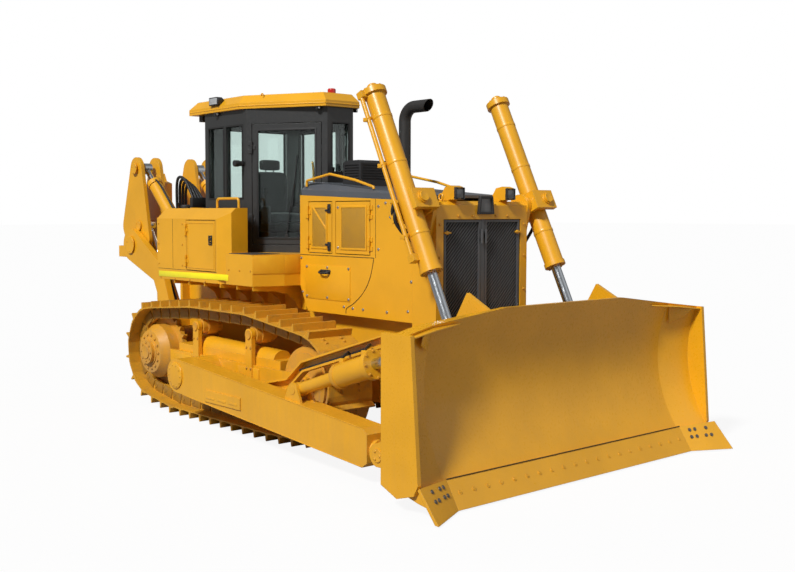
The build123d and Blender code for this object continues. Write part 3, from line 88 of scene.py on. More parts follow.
class Graph:
    """Node tree of one material, built from expressions."""

    def __init__(self, name: str) -> None:
        """Starts an empty material.

        Args:
            name: Name of the material.
        """
        self.material = bpy.data.materials.new(name)
        self.material.use_nodes = True
        self.nodes, self.links = self.material.node_tree.nodes, self.material.node_tree.links
        self.nodes.clear()
        self.place = Signal(self, self.node("ShaderNodeTexCoord").outputs["Object"])

    def node(self, kind: str, settings: dict[str, Any] | None = None, **values: Any) -> bpy.types.Node:
        """Adds a node.

        Args:
            kind: Blender's type name of the node.
            settings: Attributes that are set before the sockets.
            values: Input sockets by name, underscores for spaces, or by number after an i.

        Returns:
            The new node.
        """
        made = self.nodes.new(kind)
        for key, value in (settings or {}).items():
            setattr(made, key, value)
        for key, value in values.items():
            at = int(key[1:]) if key[0] == "i" and key[1:].isdigit() else key.replace("_", " ")
            self.feed(made.inputs[at], value)
        return made

    def feed(self, socket: bpy.types.NodeSocket, value: Any) -> None:
        """Sets a socket's value, or links a signal to it."""
        if isinstance(value, Signal):
            self.links.new(value.socket, socket)
        elif isinstance(value, tuple) and len(value) == 3 and socket.type == "RGBA":
            socket.default_value = (*value, 1.0)
        else:
            socket.default_value = value

    def math(self, operation: str, *values: Number) -> Signal:
        """Adds a Math node for numbers and signals."""
        made = self.node("ShaderNodeMath", {"operation": operation})
        for socket, value in zip(made.inputs, values):
            self.feed(socket, value)
        return Signal(self, made.outputs[0])

    def vector(self, operation: str, output: int, *values: Any) -> Signal:
        """Adds a Vector Math node, and gives its output by number."""
        made = self.node("ShaderNodeVectorMath", {"operation": operation})
        for socket, value in zip(made.inputs, values):
            self.feed(socket, value)
        return Signal(self, made.outputs[output])

    def mix(self, share: Number, first: Any, second: Any) -> Signal:
        """Mixes two colours."""
        made = self.node("ShaderNodeMix", {"data_type": "RGBA"}, i0=share, i6=first, i7=second)
        return Signal(self, made.outputs[2])

    def ramp(self, value: Number, low: float, high: float, start: float = 0.0, end: float = 1.0) -> Signal:
        """Maps low to high onto start to end, held at the ends."""
        made = self.node("ShaderNodeMapRange", {"clamp": True, "interpolation_type": "SMOOTHSTEP"},
                         i0=value, i1=low, i2=high, i3=start, i4=end)
        return Signal(self, made.outputs[0])

    def noise(self, scale: float, detail: float = 3.0, rough: float = 0.5, stretch: Point = (1, 1, 1)) -> Signal:
        """Noise on the object's own coordinates.

        Args:
            scale: Waves in a metre.
            detail: Octaves.
            rough: Strength of the finer octaves.
            stretch: Factors on the coordinates.

        Returns:
            The noise from 0 to 1.
        """
        place = self.place
        if tuple(stretch) != (1, 1, 1):
            place = self.vector("MULTIPLY", 0, self.place, tuple(stretch))
        made = self.node("ShaderNodeTexNoise", Vector=place, Scale=scale, Detail=detail, Roughness=rough)
        return Signal(self, made.outputs[0])

    def edges(self, radius: float) -> tuple[Signal, Signal]:
        """Rounds sharp edges in the shading.

        Args:
            radius: Radius of the rounding in metres.

        Returns:
            The rounded normal, and a mask that is 1 on the edges.
        """
        rounded = Signal(self, self.node("ShaderNodeBevel", {"samples": 4}, Radius=radius).outputs[0])
        flat = Signal(self, self.node("ShaderNodeNewGeometry").outputs["Normal"])
        return rounded, 1 - self.vector("DOT_PRODUCT", 1, rounded, flat)

    def bump(self, height: Number, strength: float, distance: float, normal: Signal | None = None) -> Signal:
        """Bump from a height signal."""
        made = self.node("ShaderNodeBump", Height=height, Strength=strength, Distance=distance)
        if normal is not None:
            self.feed(made.inputs["Normal"], normal)
        return Signal(self, made.outputs[0])

    def finish(self, **values: Any) -> bpy.types.Material:
        """Ends the material with a Principled shader that takes the values."""
        shader = self.node("ShaderNodeBsdfPrincipled", **values)
        output = self.node("ShaderNodeOutputMaterial")
        self.links.new(shader.outputs[0], output.inputs[0])
        return self.material


@dataclass(frozen=True)
class Paint:
    """Machine paint with soil in its lower parts, chips on its edges and a slight orange peel."""
    name: str
    colour: tuple[float, float, float]
    roughness: float = 0.36
    soil: float = 0.12
    soil_top: float = 1.3
    chips: float = 0.35
    rounding: float = 0.006
    metal: tuple[float, float, float] = (0.13, 0.11, 0.09)

    def build(self) -> bpy.types.Material:
        """Builds the material."""
        g = Graph(self.name)
        rounded, edge = g.edges(self.rounding)
        cloud = g.noise(1.7, 4.0, 0.55)
        grain = g.noise(38.0, 4.0, 0.6)
        streak = g.noise(5.0, 4.0, 0.6, (3.0, 3.0, 0.35))
        shade = g.ramp(cloud, 0.3, 0.7, 0.93, 1.03)
        colour = g.mix(1.0, self.colour, self.colour)
        colour = g.vector("SCALE", 0, colour)
        colour.socket.node.inputs["Scale"].default_value = 1.0
        g.feed(colour.socket.node.inputs["Scale"], shade)
        height = Signal(g, g.node("ShaderNodeSeparateXYZ", Vector=g.place).outputs[2])
        low = g.ramp(height, 0.1, self.soil_top, 1.0, 0.0)
        soil = g.ramp(streak * 0.6 + grain * 0.4 + low * 0.35, 0.5, 0.95) * self.soil
        soil = soil + g.ramp(streak, 0.55, 0.8) * (self.soil * 0.35)
        colour = g.mix(soil, colour, (0.30, 0.21, 0.12))
        chip = g.ramp(edge * 3.0 + grain * 0.9 + cloud * 0.3, 1.05, 1.3) * self.chips
        colour = g.mix(chip, colour, self.metal)
        peel = g.noise(160.0, 2.0)
        normal = g.bump(peel - chip * 2.0, 0.10, 0.002, rounded)
        return g.finish(Base_Color=colour, Roughness=g.ramp(grain, 0.3, 0.75, self.roughness - 0.05,
                        self.roughness + 0.09) + soil * 0.5 + chip * 0.2,
                        Coat_Weight=0.25, Coat_Roughness=0.22, Normal=normal)


@dataclass(frozen=True)
class TrackPaint:
    """Paint on shoes and chain, rubbed to bare steel and earth where it meets the ground."""
    name: str
    colour: tuple[float, float, float]

    def build(self) -> bpy.types.Material:
        """Builds the material."""
        g = Graph(self.name)
        rounded, edge = g.edges(0.004)
        cloud, grain = g.noise(3.1, 4.0, 0.6), g.noise(44.0, 5.0, 0.65)
        rubbed = g.ramp(edge * 2.2 + grain * 0.7 + cloud * 0.55, 0.82, 1.15)
        earth = g.ramp(g.noise(7.0, 5.0, 0.62) + grain * 0.25, 0.58, 0.9) * 0.4
        colour = g.mix(earth, self.colour, (0.16, 0.11, 0.06))
        colour = g.mix(rubbed * 0.75, colour, (0.20, 0.17, 0.13))
        normal = g.bump(grain + g.noise(130.0) * 0.4, 0.28, 0.003, rounded)
        return g.finish(Base_Color=colour, Metallic=rubbed * 0.35, Roughness=g.ramp(grain, 0.25, 0.8, 0.42, 0.72),
                        Normal=normal)


@dataclass(frozen=True)
class Metal:
    """Bare metal with fine scratches."""
    name: str
    colour: tuple[float, float, float]
    roughness: float
    rust: float = 0.0

    def build(self) -> bpy.types.Material:
        """Builds the material."""
        g = Graph(self.name)
        rounded, edge = g.edges(0.003)
        scratch = g.noise(90.0, 3.0, 0.6, (1, 1, 0.05))
        cloud = g.noise(9.0, 4.0, 0.6)
        stain = g.ramp(cloud, 0.48, 0.75) * self.rust
        colour = g.mix(stain, self.colour, (0.16, 0.085, 0.04))
        return g.finish(Base_Color=colour, Metallic=1 - stain * 0.8,
                        Roughness=g.ramp(scratch, 0.3, 0.7, self.roughness, self.roughness * 1.7) + stain * 0.4,
                        Normal=g.bump(scratch + edge, 0.04, 0.001, rounded))


@dataclass(frozen=True)
class Glass:
    """Tinted safety glass."""
    name: str
    colour: tuple[float, float, float] = (0.62, 0.72, 0.70)

    def build(self) -> bpy.types.Material:
        """Builds the material."""
        g = Graph(self.name)
        film = g.ramp(g.noise(2.3, 4.0, 0.6), 0.35, 0.8, 0.004, 0.014)
        return g.finish(Base_Color=g.mix(film, self.colour, (0.5, 0.5, 0.45)), Roughness=film,
                        Transmission_Weight=1.0, IOR=1.45)


@dataclass(frozen=True)
class Soft:
    """Moulded plastic, rubber or woven cloth, told apart by grain and sheen."""
    name: str
    colour: tuple[float, float, float]
    roughness: float = 0.6
    grain: float = 220.0
    depth: float = 0.15
    sheen: float = 0.0

    def build(self) -> bpy.types.Material:
        """Builds the material."""
        g = Graph(self.name)
        fine, cloud = g.noise(self.grain, 2.0), g.noise(4.0, 3.0)
        paler = tuple(min(1.0, c * 1.7 + 0.01) for c in self.colour)
        colour = g.mix(g.ramp(cloud, 0.35, 0.75) * 0.3, self.colour, paler)
        rounded, edge = g.edges(0.003)
        rough = g.ramp(fine, 0.3, 0.7, self.roughness - 0.08, self.roughness + 0.1)
        return g.finish(Base_Color=colour, Roughness=rough,
                        Sheen_Weight=self.sheen, Normal=g.bump(fine + edge, self.depth, 0.001, rounded))


@dataclass(frozen=True)
class Perforated:
    """Painted sheet with a hexagonal lattice of holes, whose near-black fill is painted shade of the dark space behind.
    """
    name: str
    colour: tuple[float, float, float]
    pitch: float = 0.013

    def build(self) -> bpy.types.Material:
        """Builds the material."""
        g = Graph(self.name)
        parts = g.node("ShaderNodeSeparateXYZ", Vector=g.place)
        x, z = Signal(g, parts.outputs[0]), Signal(g, parts.outputs[2])
        wave = 2 * pi / self.pitch
        lattice = g.math("COSINE", x * wave)
        for lean in (0.8660, -0.8660):
            lattice = lattice + g.math("COSINE", (x * 0.5 + z * lean) * wave)
        hole_and_shade = g.ramp(lattice, 0.1, 0.7)
        cloud = g.noise(6.0, 4.0, 0.6)
        paint = g.mix(g.ramp(cloud, 0.4, 0.8) * 0.3, self.colour, (0.32, 0.20, 0.06))
        # The holes are real and are rougher and sunk by the bump; their near-black colour is painted shade of the space
        # behind the sheet.
        return g.finish(Base_Color=g.mix(hole_and_shade, paint, (0.02, 0.017, 0.012)),
                        Roughness=g.ramp(cloud, 0.3, 0.7, 0.38, 0.55) + hole_and_shade * 0.3,
                        Normal=g.bump(0 - hole_and_shade, 0.35, 0.002))


@dataclass(frozen=True)
class Lens:
    """Lamp glass over a bright reflector."""
    name: str
    colour: tuple[float, float, float]
    metallic: float = 0.55

    def build(self) -> bpy.types.Material:
        """Builds the material."""
        g = Graph(self.name)
        parts = g.node("ShaderNodeSeparateXYZ", Vector=g.place)
        ribs = g.math("COSINE", (Signal(g, parts.outputs[1]) + Signal(g, parts.outputs[0])) * 700.0)
        cloud = g.noise(25.0, 3.0)
        colour = g.mix(g.ramp(cloud, 0.4, 0.8) * 0.35, self.colour, tuple(c * 0.45 for c in self.colour))
        return g.finish(Base_Color=colour, Metallic=self.metallic, Roughness=g.ramp(cloud, 0.3, 0.7, 0.10, 0.22),
                        Coat_Weight=1.0, Normal=g.bump(ribs, 0.15, 0.001))


YELLOW = (0.78, 0.375, 0.010)
FINISHES = {
    "yellow": Paint("dozer_yellow", YELLOW),
    "clean_yellow": Paint("dozer_yellow_panels", (0.80, 0.385, 0.010), 0.33, 0.04, 1.0, 0.12),
    "blade_yellow": Paint("dozer_yellow_blade", YELLOW, 0.30, 0.07, 0.7, 0.3),
    "track": TrackPaint("track_yellow_rubbed", (0.62, 0.30, 0.015)),
    "roller": Paint("roller_yellow", (0.66, 0.31, 0.02), 0.45, 0.45, 1.3, 0.6),
    "hood_grey": Paint("hood_blue_grey", (0.085, 0.095, 0.11), 0.42, 0.06, 1.0, 0.1),
    "cab_black": Paint("cab_dark_frame", (0.030, 0.031, 0.031), 0.38, 0.05, 1.0, 0.1),
    "grille_black": Paint("grille_black", (0.080, 0.081, 0.083), 0.35, 0.05, 1.0, 0.1, 0.002),
    "deep_black": Paint("core_black", (0.008, 0.008, 0.008), 0.7, 0.1, 1.0, 0.0),
    "exhaust_black": Paint("exhaust_heat_black", (0.018, 0.017, 0.016), 0.55, 0.1, 1.0, 0.2),
    "block_grey": Paint("engine_cast_grey", (0.07, 0.07, 0.07), 0.6, 0.2, 1.0, 0.1),
    "chrome": Metal("cylinder_rod_chrome", (0.62, 0.66, 0.70), 0.16),
    "pin_steel": Metal("pin_steel", (0.30, 0.28, 0.26), 0.35, 0.4),
    "rubbed_steel": Metal("plow_bolt_steel", (0.22, 0.20, 0.18), 0.45, 0.5),
    "bolt_yellow": Paint("bolt_head_yellow", (0.70, 0.335, 0.02), 0.4, 0.2, 1.3, 0.5, 0.002),
    "lemon": Paint("pinstripe_lemon", (0.98, 0.86, 0.01), 0.35, 0.04, 1.0, 0.05),
    "plate_grey": Paint("blank_plate_grey", (0.16, 0.165, 0.17), 0.4, 0.03, 1.0, 0.05),
    "tread": Soft("grit_tread", (0.030, 0.030, 0.031), 0.85, 500.0, 0.6),
    "mesh": Perforated("perforated_yellow", (0.66, 0.335, 0.02)),
    "lens": Lens("lamp_lens", (0.75, 0.78, 0.80)),
    "dark_lens": Lens("lamp_dark_lens", (0.10, 0.105, 0.11), 0.3),
    "screw": Metal("bright_screw", (0.55, 0.56, 0.58), 0.3, 0.1),
    "seam": Soft("seam_shadow", (0.05, 0.03, 0.008), 0.8, 200.0, 0.1),
    # Chain links: the track yellow at about half brightness, as painted shade under the overhanging shoes, with the
    # same earth and rubbed wear as the shoes.
    "chain": TrackPaint("chain_yellow_dirty", (0.34, 0.165, 0.012)),
    "yellow_tread": Soft("yellow_chequer", (0.78, 0.375, 0.012), 0.45, 95.0, 1.0),
    "red_lens": Lens("beacon_red_lens", (0.55, 0.015, 0.01), 0.0),
    "glass": Glass("cab_tinted_glass", (0.74, 0.84, 0.81)),
    "rubber": Soft("hose_rubber", (0.014, 0.014, 0.014), 0.55),
    "cloth": Soft("seat_cloth", (0.035, 0.036, 0.04), 0.85, 420.0, 0.4, 0.4),
    "plastic": Soft("moulded_dark_plastic", (0.02, 0.02, 0.021), 0.5, 300.0, 0.1),
}


@dataclass(frozen=True)
class Dresser:
    """Gives the carried-over nodes and the new pieces their finishes."""

    nodes: tuple[tuple[str, str], ...] = (
        ("track_left track_right", "track"),
        ("track_rollers idlers sprockets", "roller"),
        ("track_frames main_frame push_arm_left push_arm_right brace_strut", "yellow"),
        ("tilt_barrel lift_barrels lift_yokes", "yellow"),
        ("blade cutting_edge end_bits", "blade_yellow"),
        ("ripper_bracket ripper_link ripper_beam ripper_shank", "yellow"),
        ("ripper_lift_barrels ripper_tilt_barrels", "yellow"),
        ("radiator_guard side_panel_left side_panel_right", "clean_yellow"),
        ("platform side_box_left side_box_right cab_roof", "clean_yellow"),
        ("box_door_left box_door_right", "clean_yellow"),
        ("hood_door_front_left hood_door_front_right hood_door_rear_left hood_door_rear_right", "clean_yellow"),
        ("hood", "hood_grey"),
        ("cab_shell cab_door_left cab_door_right", "cab_black"),
        ("grille_left grille_right grille_post", "grille_black"),
        ("radiator_core", "deep_black"),
        ("exhaust_stack", "exhaust_black"),
        ("engine_block", "block_grey"),
        ("lift_rods tilt_rod ripper_lift_rods ripper_tilt_rods", "chrome"),
        ("ripper_pivot_pins", "pin_steel"),
        ("cab_glass door_glass_left door_glass_right", "glass"),
        ("operator_seat", "cloth"),
        ("dash_console intake_box", "plastic"),
        ("handrails", "yellow"),
        ("work_lamps", "clean_yellow"),
        ("beacon", "red_lens"),
    )

    roof_lamp_z: float = 3.0

    def build(self) -> dict[str, bpy.types.Material]:
        """Builds each finish once and puts it on its nodes.

        Returns:
            The materials by the short name of the finish.
        """
        made = {key: finish.build() for key, finish in FINISHES.items()}
        for names, key in self.nodes:
            for name in names.split():
                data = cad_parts[name].data
                data.materials.clear()
                data.materials.append(made[key])
        self.part_black(made["plastic"])
        return made

    def part_black(self, material: bpy.types.Material) -> None:
        """Makes the lamps under the roof black, apart from the pods on the guard."""
        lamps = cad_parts["work_lamps"].data
        lamps.materials.append(material)
        for face in lamps.polygons:
            if face.center.z > self.roof_lamp_z:
                face.material_index = 1


class Shop:
    """Starts each part from a primitive, shapes it in edit mode and joins what shares a finish."""

    def __init__(self, finishes: dict[str, bpy.types.Material]) -> None:
        """Keeps the finishes.

        Args:
            finishes: Materials by the short name of the finish.
        """
        self.finishes, self.count = finishes, 0

    def shape(self, steps: Sequence[Callable[[], Any]], bevel: float, segments: int = 2) -> bpy.types.Object:
        """Runs edit-mode steps on the active object, then rounds its sharp edges.

        Args:
            steps: Operators that act on the whole mesh.
            bevel: Width of the rounding in metres, or 0.
            segments: Faces across the rounding.

        Returns:
            The shaped object, no longer selected.
        """
        made = bpy.context.object
        bpy.ops.object.mode_set(mode="EDIT")
        bpy.ops.mesh.select_all(action="SELECT")
        for step in steps:
            step()
        if bevel:
            bpy.ops.mesh.select_mode(type="EDGE")
            bpy.ops.mesh.select_all(action="DESELECT")
            bpy.ops.mesh.edges_select_sharp(sharpness=SHARP)
            bpy.ops.mesh.bevel(offset=bevel, segments=segments, affect="EDGES", clamp_overlap=True)
        bpy.ops.object.mode_set(mode="OBJECT")
        made.select_set(False)
        return made

    def block(self, low: Point, high: Point, bevel: float = 0.004) -> bpy.types.Object:
        """Box between two corners, in any order, with rounded edges."""
        bpy.ops.mesh.primitive_cube_add(size=1)
        size = Vector([abs(b - a) for a, b in zip(low, high)])
        middle = (Vector(low) + Vector(high)) / 2
        bpy.context.object.data.transform(Matrix.Translation(middle) @ Matrix.Diagonal((*size, 1)))
        return self.shape((), min(bevel, min(size) * 0.45))

    def disc(self, centre: Point, axis: Point, radius: float, depth: float, bevel: float = 0.003,
             sides: int = 28, rim: float = 0.0, sink: float = 0.0) -> bpy.types.Object:
        """Turned disc, with a sunk or raised face inside a rim.

        Args:
            centre: Middle of the disc.
            axis: Direction of its axis.
            radius: Outer radius.
            depth: Length along the axis.
            bevel: Rounding of its edges.
            sides: Faces round it.
            rim: Width of the rim, or 0 for a plain face.
            sink: How far the face lies in from the rim; negative stands out.

        Returns:
            The disc.
        """
        bpy.ops.mesh.primitive_cylinder_add(vertices=sides, radius=radius, depth=depth)
        turn = Vector(axis).to_track_quat("Z", "Y").to_matrix().to_4x4()
        bpy.context.object.data.transform(Matrix.Translation(Vector(centre)) @ turn)
        steps = []
        if rim:
            steps = [lambda: bpy.ops.mesh.select_mode(type="FACE"),
                     lambda: bpy.ops.mesh.select_all(action="DESELECT"),
                     lambda: bpy.ops.mesh.select_face_by_sides(number=4, type="GREATER"),
                     lambda: bpy.ops.mesh.inset(thickness=rim, depth=-sink)]
        return self.shape(steps, bevel)

    def panel(self, points: Sequence[Point], thickness: Point, bevel: float = 0.002,
              rim: float = 0.0) -> bpy.types.Object:
        """Flat outline given a thickness; with a rim it becomes an open ring of that width."""
        bpy.ops.mesh.primitive_circle_add(vertices=len(points), fill_type="NGON")
        for vertex, point in zip(bpy.context.object.data.vertices, points):
            vertex.co = point
        steps = [lambda: bpy.ops.mesh.extrude_region_move(TRANSFORM_OT_translate={"value": thickness}),
                 lambda: bpy.ops.mesh.select_all(action="SELECT"),
                 lambda: bpy.ops.mesh.normals_make_consistent(inside=False)]
        if rim:
            steps[:0] = [lambda: bpy.ops.mesh.inset(thickness=rim, depth=0),
                         lambda: bpy.ops.mesh.delete(type="FACE"),
                         lambda: bpy.ops.mesh.select_all(action="SELECT")]
        return self.shape(steps, bevel)

    def tube(self, points: Sequence[Point], radius: float) -> bpy.types.Object:
        """Pipe or held hose on a smooth path through the middle of its corners."""
        bpy.ops.curve.primitive_nurbs_path_add()
        made = bpy.context.object
        made.data.splines.clear()
        line = made.data.splines.new("NURBS")
        line.points.add(len(points) - 1)
        for point, place in zip(line.points, points):
            point.co = (*place, 1)
        line.order_u, line.use_endpoint_u, made.data.resolution_u = 3, True, 5
        made.data.bevel_depth, made.data.bevel_resolution, made.data.use_fill_caps = radius, 3, True
        bpy.ops.object.convert(target="MESH")
        made = bpy.context.object
        made.select_set(False)
        return made

    def bolt(self, radius: float) -> bpy.types.Object:
        """Hexagon bolt head on a washer, with its seat at the origin and its axis along Z."""
        head = self.disc((0, 0, radius * 0.5), Z, radius, radius * 0.75, radius * 0.12, 6)
        washer = self.disc((0, 0, radius * 0.07), Z, radius * 1.35, radius * 0.14, 0.0, 14)
        return self.join([head, washer])

    def ring(self, model: bpy.types.Object, centre: Point, axis: Point, radius: float, count: int,
             start: float = 0.0) -> list[bpy.types.Object]:
        """Copies a model round a circle, facing along the axis."""
        turn = Vector(axis).to_track_quat("Z", "Y").to_matrix().to_4x4()
        places = []
        for index in range(count):
            angle = start + 2 * pi * index / count
            across = Matrix.Translation((radius * cos(angle), radius * sin(angle), 0))
            places.append(Matrix.Translation(Vector(centre)) @ turn @ across)
        return self.copies(model, places)

    def rows(self, model: bpy.types.Object, centres: Iterable[Point], axis: Point) -> list[bpy.types.Object]:
        """Copies a model to points, facing along the axis."""
        turn = Vector(axis).to_track_quat("Z", "Y").to_matrix().to_4x4()
        return self.copies(model, [Matrix.Translation(Vector(centre)) @ turn for centre in centres])

    def copies(self, model: bpy.types.Object, places: Iterable[Matrix]) -> list[bpy.types.Object]:
        """Copies a model, each with a mesh of its own, to places."""
        made = []
        for place in places:
            copy = model.copy()
            copy.data = model.data.copy()
            copy.data.transform(place)
            bpy.context.collection.objects.link(copy)
            made.append(copy)
        return made

    def drop(self, model: bpy.types.Object) -> None:
        """Removes a model once its copies are made."""
        bpy.data.objects.remove(model)

    def join(self, parts: Sequence[bpy.types.Object]) -> bpy.types.Object:
        """Joins parts into the first."""
        bpy.ops.object.select_all(action="DESELECT")
        for part in parts:
            part.select_set(True)
        bpy.context.view_layer.objects.active = parts[0]
        if len(parts) > 1:
            bpy.ops.object.join()
        parts[0].select_set(False)
        return parts[0]

    def finish(self, name: str, parts: Sequence[bpy.types.Object], finish: str, body: str) -> bpy.types.Object:
        """Joins parts into a finished piece that rides on a body.

        Args:
            name: Name of the piece.
            parts: Its parts.
            finish: Short name of its finish.
            body: The body that it rides on.

        Returns:
            The piece.
        """
        piece = self.join(list(parts))
        piece.name = piece.data.name = name
        piece.data.materials.clear()
        piece.data.materials.append(self.finishes[finish])
        piece.select_set(True)
        bpy.context.view_layer.objects.active = piece
        bpy.ops.object.shade_smooth_by_angle(angle=radians(38))
        piece.select_set(False)
        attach(piece, body)
        self.count += 1
        log.info("piece %s: %d faces on %s", name, len(piece.data.polygons), body)
        return piece


def outward(side: Side) -> Point:
    """Direction outward on a side."""
    return (0, side.value, 0)


@dataclass
class BladeFittings:
    """Bolts of the cutting edge and the end bits, and the blade's seams."""
    shop: Shop
    edge_top: Point = (3.759, 0, 0.245)
    edge_bottom: Point = (3.907, 0, 0.016)
    half_width: float = 1.67
    tip_top: Point = (3.899, 2.1, 0.269)
    tip_bottom: Point = (4.117, 2.1, 0.016)
    edge_bolts: int = 20

    def plow_bolt(self) -> bpy.types.Object:
        """Flush bolt with a sunk square drive."""
        head = self.shop.disc((0, 0, 0.002), Z, 0.019, 0.008, 0.002, 20, 0.006, 0.003)
        drive = self.shop.disc((0, 0, 0.002), Z, 0.009, 0.009, 0.001, 4)
        return self.shop.join([head, drive])

    def build(self) -> None:
        """Adds the bolts."""
        shop, model = self.shop, self.plow_bolt()
        top, bottom = Vector(self.edge_top), Vector(self.edge_bottom)
        normal = (bottom - top).cross(Vector((0, 1, 0)))
        normal *= -1 if normal.x < 0 else 1
        span = self.half_width - 0.095
        row = []
        for index in range(self.edge_bolts):
            y = -span + 2 * span * index / (self.edge_bolts - 1)
            row.append(top.lerp(bottom, 0.46) + Vector((0, y, 0)))
        shop.finish("edge_plow_bolts", shop.rows(model, row, normal), "blade_yellow", "blade_assembly")
        parts = []
        for side in Side:
            inner = [Vector((corner[0], side.value * self.half_width, corner[2]))
                     for corner in (self.edge_top, self.edge_bottom)]
            outer = [Vector((corner[0], side.value * corner[1], corner[2]))
                     for corner in (self.tip_top, self.tip_bottom)]
            facing = (inner[1] - inner[0]).cross(outer[0] - inner[0])
            facing *= -1 if facing.x < 0 else 1
            spots = []
            for across, down in ((0.22, 0.18), (0.36, 0.18), (0.66, 0.18), (0.18, 0.45), (0.32, 0.45), (0.56, 0.45),
                                 (0.70, 0.45)):
                upper, lower = inner[0].lerp(outer[0], across), inner[1].lerp(outer[1], across)
                spots.append(upper.lerp(lower, down) + facing.normalized() * 0.002)
            parts += shop.rows(model, spots, facing)
        shop.drop(model)
        shop.finish("end_bit_bolts", parts, "rubbed_steel", "blade_assembly")
        self.corners()

    def corners(self) -> None:
        """Lips and webs in the upper corners, and the dark joint above the cutting edge."""
        shop, plates = self.shop, []
        for side in Side:
            out = side.value
            lip = [(3.615, out * 1.36, 1.492), (3.600, out * 1.69, 1.470), (3.625, out * 2.055, 1.425),
                   (3.752, out * 2.055, 1.425), (3.700, out * 1.75, 1.462)]
            plates.append(shop.panel(lip, (0, 0, 0.014), 0.003))
            web = [(3.60, out * 1.68, 1.468), (3.725, out * 1.90, 1.438), (3.66, out * 1.86, 1.36),
                   (3.575, out * 1.72, 1.29)]
            plates.append(shop.panel(web, (0, out * 0.012, 0), 0.003))
        shop.finish("blade_corner_lips", plates, "blade_yellow", "blade_assembly")
        x, _, z = self.edge_top
        joint = shop.tube([(x + 0.003, -self.half_width, z + 0.004), (x + 0.003, 0, z + 0.004),
                           (x + 0.003, self.half_width, z + 0.004)], 0.0045)
        shop.finish("blade_edge_joint", [joint], "seam", "blade_assembly")


@dataclass
class LiftCylinderFittings:
    """Bolts, clamps and hoses of the two blade lift cylinders."""
    shop: Shop
    yoke: Point = (2.464, 0.89, 2.5)
    along: Point = (0.4308, 0, -0.9024)
    rear: Point = (-0.9024, 0, -0.4308)

    def at(self, side: Side, down: float, out: float = 0.0, back: float = 0.0) -> Vector:
        """Point down the cylinder, out from its axis and behind it."""
        base = Vector((self.yoke[0], side.value * (self.yoke[1] + out), self.yoke[2]))
        return base + Vector(self.along) * down + Vector(self.rear) * back

    def build(self) -> None:
        """Adds the fittings of both cylinders."""
        shop = self.shop
        body, model = "lift_cylinder_barrels", shop.bolt(0.014)
        bolts, bands, hoses, caps = [], [], [], []
        up = -Vector(self.along)
        for side in Side:
            bolts += shop.ring(model, self.at(side, -1.26), up, 0.104, 8)
            bolts += shop.ring(model, self.at(side, 0.69), self.along, 0.083, 8)
            for offset in (-0.216, 0.216):
                spot = self.at(side, 0.0) + Vector((0.9024, 0, 0.4308)) * offset
                away = Vector((0.9024, 0, 0.4308)) * offset
                caps.append(shop.disc(spot, away, 0.052, 0.022, 0.006, 36, 0.014, 0.005))
            for down in (-0.95, -0.45, 0.3):
                bands.append(shop.disc(self.at(side, down), self.along, 0.1035, 0.035, 0.004, 36))
                bands.append(shop.block(self.at(side, down, 0.16, 0.055) - Vector((0.03, 0.02, 0.02)),
                                        self.at(side, down, 0.16, 0.055) + Vector((0.03, 0.02, 0.02))))
                bands.append(shop.block(self.at(side, down, 0.09, 0.05), self.at(side, down, 0.15, 0.03)
                                        + Vector((0, 0, 0.025))))
            caps.append(shop.disc(self.at(side, -1.30), up, 0.05, 0.03, 0.004, 20, 0.012, -0.008))
            hoses.append(shop.tube([self.at(side, -0.08, 0.10, 0.07), self.at(side, -0.02, 0.14, 0.14),
                                    self.at(side, 0.10, 0.03, 0.20), self.at(side, 0.22, -0.12, 0.22),
                                    self.at(side, 0.30, -0.19, 0.20)], 0.017))
            hoses.append(shop.tube([self.at(side, -0.02, 0.10, 0.07), self.at(side, 0.06, 0.15, 0.13),
                                    self.at(side, 0.20, 0.05, 0.17), self.at(side, 0.32, -0.10, 0.19),
                                    self.at(side, 0.38, -0.19, 0.16)], 0.017))
        shop.drop(model)
        shop.finish("lift_cylinder_bolts", bolts, "bolt_yellow", body)
        shop.finish("lift_cylinder_clamps", bands, "yellow", body)
        shop.finish("lift_cylinder_caps", caps, "yellow", body)
        shop.finish("lift_cylinder_hoses", hoses, "rubber", body)


